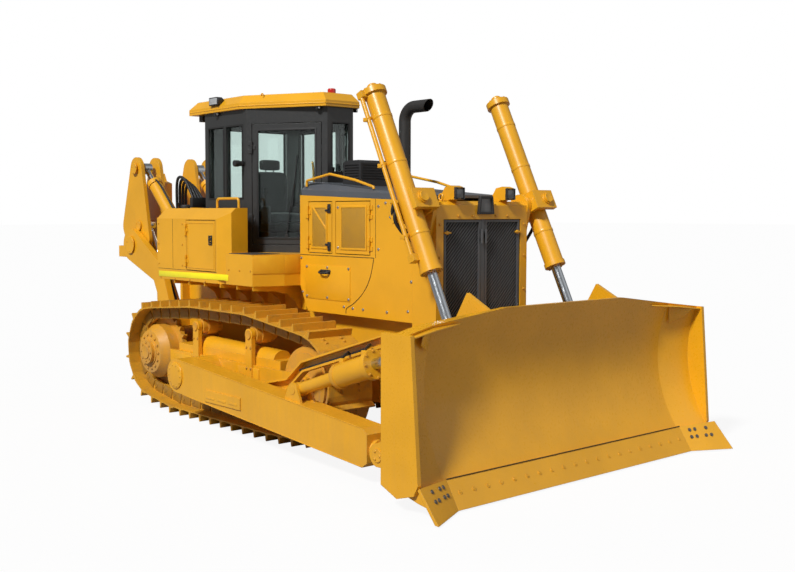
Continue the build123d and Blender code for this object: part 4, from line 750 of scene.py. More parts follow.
@dataclass
class Guard:
    """Lamps, blank plate, latches and bolts of the radiator guard and its grille."""
    shop: Shop
    front_x: float = 2.573
    lamp_y: tuple[float, float] = (-0.38, 0.35)
    lamp_z: float = 2.622

    def lamps(self) -> None:
        """Black lamp boxes with a clear lens."""
        shop, boxes, lenses = self.shop, [], []
        for y in self.lamp_y:
            low, high = Vector((2.598, y - 0.062, self.lamp_z - 0.058)), Vector((2.628, y + 0.062, self.lamp_z + 0.058))
            boxes.append(shop.panel([(low.x, low.y, low.z), (low.x, high.y, low.z), (low.x, high.y, high.z),
                                     (low.x, low.y, high.z)], (high.x - low.x, 0, 0), 0.004, 0.008))
            boxes.append(shop.block((2.590, y - 0.058, self.lamp_z - 0.054), (2.600, y + 0.058, self.lamp_z + 0.054)))
            lenses.append(shop.block((2.601, y - 0.049, self.lamp_z - 0.045), (2.622, y + 0.049, self.lamp_z + 0.045),
                                     0.006))
        shop.finish("guard_lamp_bezels", boxes, "plastic", "chassis")
        shop.finish("guard_lamp_lenses", lenses, "dark_lens", "chassis")

    def plate(self) -> None:
        """Black centre plate, left blank, with its frame, and the eye bolt beside it."""
        shop, x = self.shop, self.front_x
        corners = [(x, -0.095, 2.42), (x, 0.125, 2.42), (x, 0.105, 2.60), (x, -0.075, 2.60)]
        ring = shop.panel(corners, (0.035, 0, 0), 0.004, 0.022)
        face = shop.panel([(x, y * 0.9 + 0.0015, z) for _, y, z in corners], (0.016, 0, 0), 0.003)
        shop.finish("guard_blank_plate", [ring], "plastic", "chassis")
        shop.finish("guard_plate_face", [face], "plate_grey", "chassis")
        bpy.ops.mesh.primitive_torus_add(major_radius=0.028, minor_radius=0.009, major_segments=28, minor_segments=10)
        bpy.context.object.data.transform(Matrix.Translation((2.50, -0.52, 2.588)) @ Matrix.Rotation(pi / 2, 4, "X"))
        eye = shop.shape((), 0)
        foot = shop.disc((2.50, -0.52, 2.557), Z, 0.022, 0.014, 0.002, 20)
        shop.finish("guard_eye_bolt", [eye, foot], "yellow", "chassis")

    def grille(self) -> None:
        """T-latches on the leaves, and bolts round the opening."""
        shop, model = self.shop, self.shop.bolt(0.013)
        for side in Side:
            body = f"{side.name.lower()}_grille_leaf"
            y = side.value * 0.505
            latches = []
            for z in (2.24, 1.32):
                latches.append(shop.disc((2.572, y, z), X, 0.02, 0.016, 0.002, 20))
                latches.append(shop.block((2.576, y - 0.045, z - 0.009), (2.588, y + 0.045, z + 0.009)))
            shop.finish(f"grille_latches_{side.name.lower()}", latches, "clean_yellow", body)
        spots = [(self.front_x, side.value * 0.605, z) for side in Side for z in (1.30, 1.65, 2.0, 2.32, 1.0, 0.85)]
        spots += [(self.front_x, y, 2.405) for y in (-0.35, -0.15, 0.18, 0.35)]
        bolts = shop.rows(model, spots, X)
        shop.drop(model)
        shop.finish("guard_bolts", bolts, "bolt_yellow", "chassis")

    def build(self) -> None:
        """Adds every fitting of the guard."""
        self.lamps()
        self.plate()
        self.grille()


@dataclass
class EngineEnclosure:
    """Mesh panels, latches, seams and handles on the hood's sides, and what stands on the hood."""
    shop: Shop
    face_y: float = 0.630
    doors: tuple[tuple[str, float, float], ...] = (("rear", 0.508, 0.933), ("front", 0.989, 1.570))
    low_z: float = 1.990
    high_z: float = 2.560

    def door(self, side: Side, place: str, low_x: float, high_x: float) -> None:
        """Pressed frame, mesh panel, latch and screws of one door."""
        shop, name = self.shop, side.name.lower()
        body, tag = f"{name}_{place}_hood_door", f"{place}_{name}"
        y = side.value * self.face_y
        latch_left = place == "front"
        low, high = low_x + (0.085 if latch_left else 0.055), high_x - (0.055 if latch_left else 0.085)
        bottom, top = self.low_z + 0.05, self.high_z - 0.05
        corners = [(low, y, bottom), (high, y, bottom), (high, y, top), (low, y, top)]
        rim = shop.panel(corners, (0, side.value * 0.008, 0), 0.002, 0.022)
        shop.finish(f"mesh_rim_{tag}", [rim], "clean_yellow", body)
        mesh = shop.block((low + 0.015, y, bottom + 0.015), (high - 0.015, y + side.value * 0.003, top - 0.015), 0.001)
        shop.finish(f"mesh_panel_{tag}", [mesh], "mesh", body)
        latch_x = low_x + 0.045 if latch_left else high_x - 0.045
        if place == "front":
            screw = shop.bolt(0.011)
            spots = [(latch_x + dx, y, z) for dx, z in ((0.0, bottom + 0.02), (0.0, top - 0.02))]
            shop.finish(f"hood_door_screws_{tag}", shop.rows(screw, spots, outward(side)), "screw", body)
            shop.drop(screw)
            return
        latches = []
        for z, lean in ((bottom + 0.03, 1), (top - 0.03, -1)):
            latches.append(shop.block((latch_x - 0.024, y, z - 0.048),
                                      (latch_x + 0.024, y + side.value * 0.014, z + 0.048)))
            latches.append(shop.block((latch_x - 0.058, y, z + lean * 0.020 - 0.012),
                                      (latch_x - 0.022, y + side.value * 0.02, z + lean * 0.020 + 0.012)))
            latches.append(shop.disc((latch_x, y + side.value * 0.016, z), outward(side), 0.013, 0.012, 0.002, 18))
        shop.finish(f"hood_latches_{tag}", latches, "plastic", body)
        brace = shop.panel([(low + 0.01, y, top - 0.005), (low + 0.04, y, top - 0.005),
                            (high - 0.005, y, bottom + 0.225), (high - 0.005, y, bottom + 0.195)],
                           (0, side.value * 0.010, 0), 0.002)
        shop.finish(f"mesh_brace_{tag}", [brace], "clean_yellow", body)

    def lower(self, side: Side) -> None:
        """Access panel with its black handle, the curved seam and the screws below the doors."""
        shop, name = self.shop, side.name.lower()
        y, out = side.value * self.face_y, side.value
        corners = [(0.46, y, 1.485), (1.243, y, 1.485), (1.243, y, 1.862), (0.46, y, 1.862)]
        plate = shop.panel(corners, (0, out * 0.006, 0), 0.002)
        shop.finish(f"access_panel_{name}", [plate], "clean_yellow", "chassis")
        groove = y + out * 0.0008
        seam = [shop.tube([(1.628, groove, 1.965), (1.585, groove, 1.77), (1.47, groove, 1.60), (1.30, groove, 1.47),
                           (1.18, groove, 1.42), (1.17, groove, 1.39), (1.17, groove, 1.36)], 0.0042),
                shop.tube([(0.36, groove, 1.968), (1.0, groove, 1.968), (1.63, groove, 1.968)], 0.0035),
                shop.tube([(1.655, groove, 1.968), (1.655, groove, 2.3), (1.655, groove, 2.575)], 0.0025)]
        shop.finish(f"side_seams_{name}", seam, "seam", "chassis")
        handle = shop.tube([(0.735, y, 1.80), (0.74, y + out * 0.05, 1.785), (0.82, y + out * 0.055, 1.775),
                            (0.90, y + out * 0.05, 1.785), (0.905, y, 1.80)], 0.011)
        cup = shop.block((0.73, y, 1.765), (0.91, y + out * 0.008, 1.815), 0.003)
        shop.finish(f"access_handle_{name}", [handle, cup], "plastic", "chassis")
        model = shop.bolt(0.012)
        spots = [(x, y + out * 0.006, z) for x in (0.485, 0.855, 1.22) for z in (1.51, 1.838)]
        spots += [(1.285, y, 1.42), (1.455, y, 1.42), (1.834, y, 1.42), (1.884, y, 2.39), (1.81, y, 2.533),
                  (1.135, y, 1.428), (0.38, y, 1.93), (0.40, y, 1.55), (2.15, y, 1.45), (1.70, y, 2.06),
                  (1.70, y, 2.50), (2.20, y, 1.75), (2.25, y, 2.30)]
        bolts = shop.rows(model, spots, outward(side))
        shop.drop(model)
        shop.finish(f"side_screws_{name}", bolts, "screw", "chassis")
        inner = side.value * 0.580
        stop = shop.block((0.49, inner, 2.535), (1.60, inner - out * 0.012, 2.585), 0.003)
        shop.finish(f"hood_door_stop_{name}", [stop], "rubber", "chassis")

    def top(self) -> None:
        """Exhaust clamps and intake cap."""
        shop, clamps = self.shop, []
        clamps.append(shop.disc((1.403, 0, 2.80), Z, 0.071, 0.03, 0.004, 32))
        clamps.append(shop.block((1.39, -0.10, 2.80 - 0.012), (1.416, -0.066, 2.80 + 0.012)))
        shop.finish("exhaust_clamps", clamps, "pin_steel", "chassis")
        cap = [shop.disc((1.80, 0.30, 2.668), Z, 0.055, 0.05, 0.006, 28, 0.012, -0.012)]
        shop.finish("coolant_cap", cap, "plastic", "chassis")

    def build(self) -> None:
        """Adds both sides and the top."""
        for side in Side:
            for place, low_x, high_x in self.doors:
                self.door(side, place, low_x, high_x)
            self.lower(side)
        self.top()


@dataclass
class PlatformFittings:
    """Box doors' handles, the lemon strips, tread plates and caps round the cab."""
    shop: Shop
    box_y: float = 1.200

    def build(self) -> None:
        """Adds the fittings of both sides."""
        shop, screw = self.shop, self.shop.bolt(0.010)
        for side in Side:
            name, y, out = side.name.lower(), side.value * self.box_y, side.value
            strip = shop.panel([(-1.85, y, 1.642), (-0.25, y, 1.662), (-0.25, y, 1.732), (-1.85, y, 1.712)],
                               (0, out * 0.003, 0), 0.001)
            shop.finish(f"lemon_strip_{name}", [strip], "lemon", "chassis")
            rim = shop.panel([(-1.15, y, 1.775), (-0.55, y, 1.775), (-0.55, y, 2.32), (-1.15, y, 2.32)],
                             (0, out * 0.004, 0), 0.0015, 0.012)
            shop.finish(f"box_door_bead_{name}", [rim], "clean_yellow", f"{name}_box_door")
            cup = shop.panel([(-0.66, y, 2.06), (-0.585, y, 2.06), (-0.585, y, 2.17), (-0.66, y, 2.17)],
                             (0, out * 0.012, 0), 0.003, 0.014)
            grip = shop.block((-0.648, y, 2.115), (-0.597, y + out * 0.014, 2.145))
            lock = shop.disc((-0.622, y + out * 0.004, 2.09), outward(side), 0.010, 0.012, 0.001, 18)
            shop.finish(f"box_door_handle_{name}", [cup, grip, lock], "plastic", f"{name}_box_door")
            tread = shop.block((-0.28, side.value * 0.80, 1.970), (0.20, side.value * 1.17, 1.975), 0.002)
            shop.finish(f"fender_tread_{name}", [tread], "tread", "chassis")
            spots = [(x, y, z) for x in (-1.85, -1.27) for z in (1.80, 2.05, 2.30)]
            spots += [(x, y, 1.63) for x in (-1.8, -1.45, -1.1, -0.75)]
            spots += [(x, y, 1.79) for x in (-0.24, -0.02, 0.2)]
            shop.finish(f"box_screws_{name}", shop.rows(screw, spots, outward(side)), "bolt_yellow", "chassis")
            cap = shop.disc((-1.55, side.value * 0.985, 2.505), Z, 0.06, 0.035, 0.005, 32, 0.014, -0.010)
            lug = shop.block((-1.60, side.value * 0.975, 2.515), (-1.50, side.value * 0.995, 2.535))
            shop.finish(f"tank_cap_{name}", [cap, lug], "plastic", "chassis")
            seam = [shop.tube([(-1.50, y, 1.76), (-1.50, y, 2.05), (-1.50, y, 2.36)], 0.0025),
                    shop.tube([(-1.86, y, 1.745), (-1.2, y, 1.745), (-0.50, y, 1.745)], 0.0025)]
            shop.finish(f"box_seams_{name}", seam, "seam", "chassis")
            front, corner = (0.353, side.value * 0.849), (0.236, side.value * 1.200)
            faces = [[(*corner, 1.76), (*front, 1.76), (*front, 1.958), (*corner, 1.958)],
                     [(*front, 1.76), (front[0], side.value * 0.64, 1.76), (front[0], side.value * 0.64, 1.958),
                      (*front, 1.958)]]
            chequer = [shop.panel(face, push, 0.0015)
                       for face, push in zip(faces, ((0.006, out * 0.002, 0), (0.006, 0, 0)))]
            shop.finish(f"fender_chequer_{name}", chequer, "yellow_tread", "chassis")
        shop.drop(screw)


@dataclass
class CabFittings:
    """Window seals, handles, wipers, lamps and the inside of the cab."""
    shop: Shop
    front: tuple[float, float] = (0.293, 0.190)
    bend: tuple[float, float] = (-0.570, 0.735)
    low_z: float = 2.600
    high_z: float = 3.480

    def slant(self, share: float, side: Side, z: float, out: float = 0.0) -> Point:
        """Point on a slanted wall, as a share of the way from its front corner."""
        run = Vector((self.bend[0] - self.front[0], self.bend[1] - self.front[1]))
        normal = Vector((run.y, -run.x)).normalized() * out
        return (self.front[0] + share * run.x + normal.x, side.value * (self.front[1] + share * run.y + normal.y), z)

    def normal(self, side: Side) -> Point:
        """Direction out of a slanted wall."""
        return (0.534, side.value * 0.8455, 0)

    def doors(self) -> None:
        """Seals, handles, wipers and grab bars of the two doors."""
        shop = self.shop
        for side in Side:
            name, facing = side.name.lower(), Vector(self.normal(side))
            body = f"{name}_cab_door"
            corners = [self.slant(s, side, z)
                       for s, z in ((0.132, 2.124), (0.868, 2.124), (0.868, 3.416), (0.132, 3.416))]
            seal = shop.panel(corners, facing * 0.007, 0.002, 0.024)
            shop.finish(f"door_seal_{name}", [seal], "rubber", body)
            base = self.slant(0.10, side, 2.62)
            handle = [shop.disc(base, facing, 0.030, 0.02, 0.003, 24),
                      shop.tube([self.slant(0.10, side, 2.62), self.slant(0.10, side, 2.62, 0.045),
                                 self.slant(0.10, side, 2.74, 0.05), self.slant(0.10, side, 2.78, 0.0)], 0.011)]
            shop.finish(f"door_handle_{name}", handle, "plastic", body)
            hub = self.slant(0.5, side, 2.16, -0.008)
            wiper = [shop.disc(hub, facing, 0.022, 0.03, 0.003, 20),
                     shop.tube([self.slant(0.5, side, 2.16, 0.006), self.slant(0.46, side, 2.45, 0.010),
                                self.slant(0.40, side, 2.80, 0.0)], 0.006),
                     shop.tube([self.slant(0.43, side, 2.50, -0.006), self.slant(0.40, side, 2.80, -0.004),
                                self.slant(0.37, side, 3.10, -0.006)], 0.007)]
            shop.finish(f"door_wiper_{name}", wiper, "plastic", body)
            grab = [shop.tube([self.slant(0.20, side, 2.45, -0.05), self.slant(0.20, side, 2.47, -0.09),
                               self.slant(0.20, side, 3.0, -0.09), self.slant(0.20, side, 3.02, -0.05)], 0.013)]
            shop.finish(f"door_inner_grab_{name}", grab, "yellow", body)

    def windows(self) -> None:
        """Rubber seals round the fixed panes."""
        shop, seals = self.shop, []
        for side in Side:
            y = side.value * 0.735
            for low, high in ((-1.410, -1.043), (-1.012, -0.635)):
                seals.append(shop.panel([(low, y, self.low_z - 0.005), (high, y, self.low_z - 0.005),
                                         (high, y, self.high_z + 0.005), (low, y, self.high_z + 0.005)],
                                        (0, side.value * 0.006, 0), 0.002, 0.022))
        seals.append(shop.panel([(-1.485, -0.485, self.low_z - 0.005), (-1.485, 0.485, self.low_z - 0.005),
                                 (-1.485, 0.485, self.high_z + 0.005), (-1.485, -0.485, self.high_z + 0.005)],
                                (-0.006, 0, 0), 0.002, 0.022))
        seals.append(shop.panel([(0.293, -0.135, 2.895), (0.293, 0.135, 2.895), (0.293, 0.135, 3.485),
                                 (0.293, -0.135, 3.485)], (0.006, 0, 0), 0.002, 0.018))
        shop.finish("window_seals", seals, "rubber", "chassis")

    def roof(self) -> None:
        """Hatch, gutter, side lamp and the lenses under the roof."""
        shop = self.shop
        hatch = shop.panel([(-1.45, -0.42, 3.820), (-0.75, -0.42, 3.820), (-0.75, 0.42, 3.820), (-1.45, 0.42, 3.820)],
                           (0, 0, 0.014), 0.004)
        edge = [(-1.795, -0.765, 3.690), (-0.634, -0.783, 3.690), (0.334, -0.248, 3.690), (0.334, 0.248, 3.690),
                (-0.634, 0.783, 3.690), (-1.795, 0.765, 3.690)]
        gutter = [shop.tube([Vector(a).lerp(Vector(b), t) for t in (0.0, 0.5, 1.0)], 0.010)
                  for a, b in zip(edge, edge[1:])]
        shop.finish("roof_hatch", [hatch], "clean_yellow", "chassis")
        shop.finish("roof_gutter", gutter, "clean_yellow", "chassis")
        lamps, lenses = [], []
        for side in Side:
            out = side.value
            lamps.append(shop.panel([(-1.27, out * 0.725, 3.735), (-1.07, out * 0.725, 3.735),
                                     (-1.05, out * 0.725, 3.80), (-1.10, out * 0.725, 3.835),
                                     (-1.27, out * 0.725, 3.835)], (0, out * 0.085, 0), 0.006))
            lenses.append(shop.block((-1.255, out * 0.806, 3.748), (-1.085, out * 0.814, 3.822), 0.003))
            lenses.append(shop.disc((-1.149, out * 0.763, 3.633), X, 0.015, 0.006, 0.001, 20))
            lenses.append(shop.disc((0.2535, out * 0.281, 3.636), X, 0.012, 0.006, 0.001, 20))
            lenses.append(shop.disc((-1.690, out * 0.660, 3.615), X, 0.032, 0.006, 0.001, 24))
        shop.finish("roof_side_lamps", lamps, "plastic", "chassis")
        shop.finish("roof_lamp_lenses", lenses, "lens", "chassis")
        base = shop.disc((-0.250, 0.300, 3.840), Z, 0.070, 0.046, 0.005, 32)
        hook = shop.tube([(-0.45, -0.60, 3.77), (-0.45, -0.60, 3.83),
                          (-0.40, -0.60, 3.83), (-0.40, -0.60, 3.77)], 0.008)
        shop.finish("beacon_base", [base], "plastic", "chassis")
        shop.finish("roof_hook", [hook], "clean_yellow", "chassis")
        posts = []
        for side in Side:
            out = side.value
            posts.append(shop.block((-0.66, out * 0.738, 2.985), (-0.60, out * 0.80, 3.045), 0.01))
            posts.append(shop.disc((-0.625, out * 0.835, 3.015), outward(side), 0.038, 0.075, 0.01, 28, 0.008, 0.006))
        shop.finish("cab_post_lamps", posts, "plastic", "chassis")

    def inside(self) -> None:
        """Levers, side consoles, display, pedals and floor mat."""
        shop, body, rubber = self.shop, [], []
        for side in Side:
            y = side.value * 0.37
            body.append(shop.block((-1.12, y - 0.075, 2.30), (-0.68, y + 0.075, 2.52), 0.02))
            body.append(shop.tube([(-0.74, y, 2.51), (-0.72, y, 2.60), (-0.70, y, 2.68)], 0.014))
            body.append(shop.disc((-0.695, y, 2.70), (0.2, 0, 1), 0.026, 0.07, 0.012, 20))
            rubber.append(shop.block((-1.05, y - 0.05, 2.515), (-0.84, y + 0.05, 2.56), 0.015))
        body.append(shop.panel([(-0.06, -0.13, 2.79), (-0.06, 0.13, 2.79), (0.0, 0.13, 2.98), (0.0, -0.13, 2.98)],
                               (0.03, 0, -0.008), 0.005))
        for y in (-0.10, 0.10):
            body.append(shop.block((-0.14, y - 0.045, 2.07), (-0.10, y + 0.045, 2.20), 0.006))
        rubber.append(shop.panel([(-1.38, -0.60, 2.031), (-0.55, -0.60, 2.031), (0.15, -0.12, 2.031),
                                  (0.15, 0.12, 2.031), (-0.55, 0.60, 2.031), (-1.38, 0.60, 2.031)], (0, 0, 0.006)))
        shop.finish("cab_controls", body, "plastic", "chassis")
        shop.finish("cab_mats", rubber, "rubber", "chassis")

    def build(self) -> None:
        """Adds every fitting of the cab."""
        self.doors()
        self.windows()
        self.roof()
        self.inside()


@dataclass
class Seat:
    """The operator's seat: two sewn cushions, a headrest and a moulded pedestal."""
    shop: Shop

    def cushion(self, name: str, low: Point, high: Point, crown: int, channels: Sequence[float]) -> None:
        """Crowned closed cushion with sewn channels.

        Args:
            name: Name of the piece.
            low: Lowest corner of its box.
            high: Highest corner.
            crown: Axis along which it swells.
            channels: Where the seams run, from -1 to 1 along Y.
        """
        bpy.ops.mesh.primitive_cube_add(size=2)
        pad = self.shop.shape([lambda: bpy.ops.mesh.subdivide(number_cuts=15)], 0)
        half = (Vector(high) - Vector(low)) / 2
        middle = (Vector(high) + Vector(low)) / 2
        across = [axis for axis in range(3) if axis != crown]
        for vertex in pad.data.vertices:
            place = Vector(vertex.co)
            total = sum(abs(value) ** ROUNDNESS for value in place) ** (1 / ROUNDNESS)
            swell = (1 - place[across[0]] ** 2) * (1 - place[across[1]] ** 2)
            seam = max((max(0.0, 1 - abs(place.y - at) / 0.09) for at in channels), default=0.0)
            place = place / total
            place[crown] *= 0.86 + 0.14 * swell - 0.12 * seam
            vertex.co = Vector([place[axis] * half[axis] for axis in range(3)]) + middle
        modifier = pad.modifiers.new("smooth", "SUBSURF")
        modifier.levels = modifier.render_levels = 1
        bpy.context.view_layer.objects.active = pad
        bpy.ops.object.modifier_apply(modifier=modifier.name)
        piece = self.shop.finish(name, [pad], "cloth", "chassis")

    def build(self) -> None:
        """Adds the seat in the place of its solid."""
        shop = self.shop
        self.cushion("seat_cushion", (-1.15, -0.26, 2.30), (-0.65, 0.26, 2.44), 2, (-0.55, 0.0, 0.55))
        self.cushion("seat_back", (-1.20, -0.24, 2.42), (-1.06, 0.24, 2.95), 0, (-0.55, 0.55))
        self.cushion("seat_headrest", (-1.19, -0.14, 2.97), (-1.09, 0.14, 3.10), 0, ())
        shell = [shop.block((-1.10, -0.20, 2.031), (-0.72, 0.20, 2.20), 0.02),
                 shop.block((-1.14, -0.24, 2.20), (-0.67, 0.24, 2.31), 0.03),
                 shop.block((-1.205, -0.20, 2.36), (-1.185, 0.20, 2.90), 0.01),
                 shop.tube([(-1.14, 0.06, 2.93), (-1.14, 0.06, 3.0)], 0.008),
                 shop.tube([(-1.14, -0.06, 2.93), (-1.14, -0.06, 3.0)], 0.008)]
        pedestal = shop.finish("seat_pedestal", shell, "plastic", "chassis")
        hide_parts("operator_seat")


@dataclass
class Undercarriage:
    """Bolts of the shoes, final drives, idlers and rollers."""
    shop: Shop
    track_y: float = 1.070
    drive: tuple[float, float] = (-1.857, 0.700)
    idler: tuple[float, float] = (1.233, 0.655)
    roller_z: float = 0.343
    rollers: tuple[float, float, int] = (-1.365, 0.730, 7)
    shoe_run: tuple[float, float] = (0.10, 0.16)
    chain_half: float = 0.130
    link_depth: float = 0.086

    def shoes(self, side: Side) -> list[tuple[Vector, Vector]]:
        """Middle and outward direction of each shoe's flat, read from the track's mesh."""
        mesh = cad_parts[f"track_{side.name.lower()}"].data
        planes: dict[tuple[int, ...], list[tuple[Vector, Vector]]] = {}
        loop_middle = Vector(((self.drive[0] + self.idler[0]) / 2, side.value * self.track_y, 0.75))
        for face in mesh.polygons:
            corners = [mesh.vertices[index].co for index in face.vertices]
            spread = max(c.y for c in corners) - min(c.y for c in corners)
            length = max(Vector((a.x - b.x, a.z - b.z)).length for a in corners for b in corners)
            if spread < 0.5 or not self.shoe_run[0] < length < self.shoe_run[1]:
                continue
            middle = sum(corners, Vector()) / len(corners)
            away = Vector((middle.x - min(max(middle.x, self.drive[0]), self.idler[0]), 0, middle.z - loop_middle.z))
            if face.normal.dot(away) <= 0:
                continue
            key = tuple(round(value * 200) for value in (*face.normal, face.normal.dot(middle)))
            planes.setdefault(key, []).append((middle, face.normal.copy()))
        return [(sum((m for m, _ in found), Vector()) / len(found), found[0][1]) for found in planes.values()]

    def link_place(self, middle: Vector, normal: Vector, along: Vector, out: int) -> Matrix:
        """Place of the link plate under a shoe, on the chain's outer face."""
        centre = Vector((middle.x, out * (self.track_y + self.chain_half), middle.z)) - normal * self.link_depth
        turn = Matrix((along, Vector((0, 1, 0)), normal)).transposed().to_4x4()
        return Matrix.Translation(centre) @ turn

    def build(self) -> None:
        """Adds the bolts and covers of both tracks."""
        shop, model, small = self.shop, self.shop.bolt(0.016), self.shop.bolt(0.012)
        link = shop.join([shop.block((-0.100, -0.007, -0.064), (0.094, 0.007, 0.058), 0.006),
                          shop.disc((-0.072, 0, -0.010), Y, 0.036, 0.026, 0.004, 20, 0.010, 0.004)])
        for side in Side:
            name, out = side.name.lower(), side.value
            bolts, links = [], []
            for middle, normal in self.shoes(side):
                turn = normal.to_track_quat("Z", "Y").to_matrix().to_4x4()
                along = normal.cross(Vector((0, 1, 0))).normalized()
                links += shop.copies(link, [self.link_place(middle, normal, along, out)])
                for dy in (-0.115, 0.115):
                    for dx in (-0.030, 0.030):
                        spot = Vector((middle.x, out * self.track_y + dy, middle.z)) + along * dx
                        bolts += shop.copies(model, [Matrix.Translation(spot) @ turn])
            log.info("%d shoe bolts on the %s", len(bolts), name)
            shop.finish(f"shoe_bolts_{name}", bolts, "track", "chassis")
            # The link plates take the darker chain yellow, which is painted shade under the shoes.
            shop.finish(f"chain_links_{name}", links, "chain", "chassis")
            hub = (self.drive[0], out * 1.339, self.drive[1])
            drive = shop.ring(model, hub, outward(side), 0.212, 14)
            drive += shop.ring(small, (hub[0], out * 1.395, hub[2]), outward(side), 0.115, 8)
            drive.append(shop.disc((hub[0], out * 1.398, hub[2]), outward(side), 0.085, 0.02, 0.004, 40, 0.02, 0.008))
            drive.append(shop.disc((hub[0], out * 1.345, hub[2]), outward(side), 0.175, 0.018, 0.004, 48))
            shop.finish(f"final_drive_bolts_{name}", drive, "roller", "chassis")
            caps = [shop.disc((self.idler[0], out * 1.272, self.idler[1]), outward(side), 0.085, 0.022, 0.004, 36,
                              0.016, 0.006)]
            caps += shop.ring(small, (self.idler[0], out * 1.282, self.idler[1]), outward(side), 0.062, 6)
            first, last, count = self.rollers
            for index in range(count):
                x = first + (last - first) * index / (count - 1)
                caps.append(shop.disc((x, out * 1.244, self.roller_z), outward(side),
                                      0.052, 0.02, 0.004, 28, 0.012, 0.004))
                caps += shop.rows(small, [(x - 0.075, out * 1.24, self.roller_z + 0.03),
                                          (x + 0.075, out * 1.24, self.roller_z + 0.03)], outward(side))
            for x in (-0.877, 0.243):
                caps.append(shop.disc((x, out * 1.266, 1.092), outward(side), 0.05, 0.018, 0.003, 28, 0.01, 0.004))
                caps += shop.rows(small, [(x + dx, out * 1.262, z) for dx in (-0.04, 0.04) for z in (0.95, 0.72)],
                                  outward(side))
            shop.finish(f"roller_caps_{name}", caps, "roller", "chassis")
            covers = [shop.panel([(x, out * 1.24, 0.52), (x + 0.42, out * 1.24, 0.52), (x + 0.42, out * 1.24, 0.73),
                                  (x, out * 1.24, 0.73)], (0, out * 0.010, 0), 0.003) for x in (-1.42, 0.0)]
            shop.finish(f"track_frame_covers_{name}", covers, "yellow", "chassis")
        for spare in (model, small, link):
            shop.drop(spare)


@dataclass
class PushArmFittings:
    """Trunnion covers, pin retainers, and the tilt cylinder's hoses."""
    shop: Shop
    arm_y: float = 1.620
    trunnion: tuple[float, float] = (-0.517, 0.600)
    ball: tuple[float, float] = (2.990, 0.320)
    tilt_base: Point = (1.678, -1.620, 0.715)
    tilt_along: Point = (0.9490, 0, 0.3150)

    def build(self) -> None:
        """Adds the fittings of both arms."""
        shop, model = self.shop, self.shop.bolt(0.013)
        for side in Side:
            name, out = side.name.lower(), side.value
            face = out * (self.arm_y + 0.120)
            cover = [shop.disc((self.trunnion[0], face + out * 0.006, self.trunnion[1]), outward(side), 0.150, 0.018,
                               0.004, 48, 0.05, -0.008)]
            cover += shop.ring(model, (self.trunnion[0], face + out * 0.013, self.trunnion[1]),
                               outward(side), 0.122, 10)
            shop.finish(f"trunnion_cover_{name}", cover, "yellow", f"{name}_push_arm")
            seams = [shop.tube([(-0.40, face, 0.778), (1.2, face, 0.648), (2.74, face, 0.524)], 0.005),
                     shop.tube([(-0.35, face, 0.400), (1.2, face, 0.284), (2.74, face, 0.172)], 0.005)]
            shop.finish(f"arm_weld_seams_{name}", seams, "yellow", f"{name}_push_arm")
            slots = [shop.block((x, face + out * 0.012, 0.43), (x + 0.16, face + out * 0.018, 0.455), 0.003)
                     for x in (0.16, 0.38, 0.60)]
            shop.finish(f"arm_step_ribs_{name}", slots, "yellow", f"{name}_push_arm")
            keepers = []
            for offset in (-0.140, 0.140):
                spot = (self.ball[0], out * self.arm_y + offset, self.ball[1])
                keepers.append(shop.disc(spot, (0, offset, 0), 0.062, 0.014, 0.003, 32, 0.016, 0.004))
                keepers += shop.ring(model, spot, (0, offset, 0), 0.040, 3)
            shop.finish(f"ball_pin_keepers_{name}", keepers, "yellow", "blade_assembly")
        along, base = Vector(self.tilt_along), Vector(self.tilt_base)
        gland = shop.ring(model, base + along * 1.19, along, 0.122, 8)
        gland += shop.ring(model, base + along * 0.62, -along, 0.088, 8)
        gland.append(shop.disc(base + along * 0.66, along, 0.120, 0.05, 0.005, 40))
        shop.finish("tilt_cylinder_bolts", gland, "bolt_yellow", "tilt_cylinder_barrel")
        lift = Vector((-0.315, 0, 0.949))
        ports = [shop.block(base + along * at + lift * 0.10 - Vector((0.03, 0.03, 0.0)),
                            base + along * at + lift * 0.10 + Vector((0.03, 0.03, 0.05))) for at in (0.74, 1.08)]
        shop.finish("tilt_cylinder_ports", ports, "yellow", "tilt_cylinder_barrel")
        runs = []
        for index, at in enumerate((0.74, 1.08)):
            end = base + along * at + lift * 0.15
            y = -1.430 - 0.02 * index
            runs.append(shop.tube([(1.45, y, 0.86), (1.60, y, 0.905), (end.x - 0.14, y, 0.905 + (end.x - 1.74) * 0.303),
                                   (end.x - 0.05, -1.50, end.z + 0.06), end], 0.013))
        shop.finish("tilt_cylinder_hoses", runs, "rubber", "right_push_arm")
        shop.drop(model)


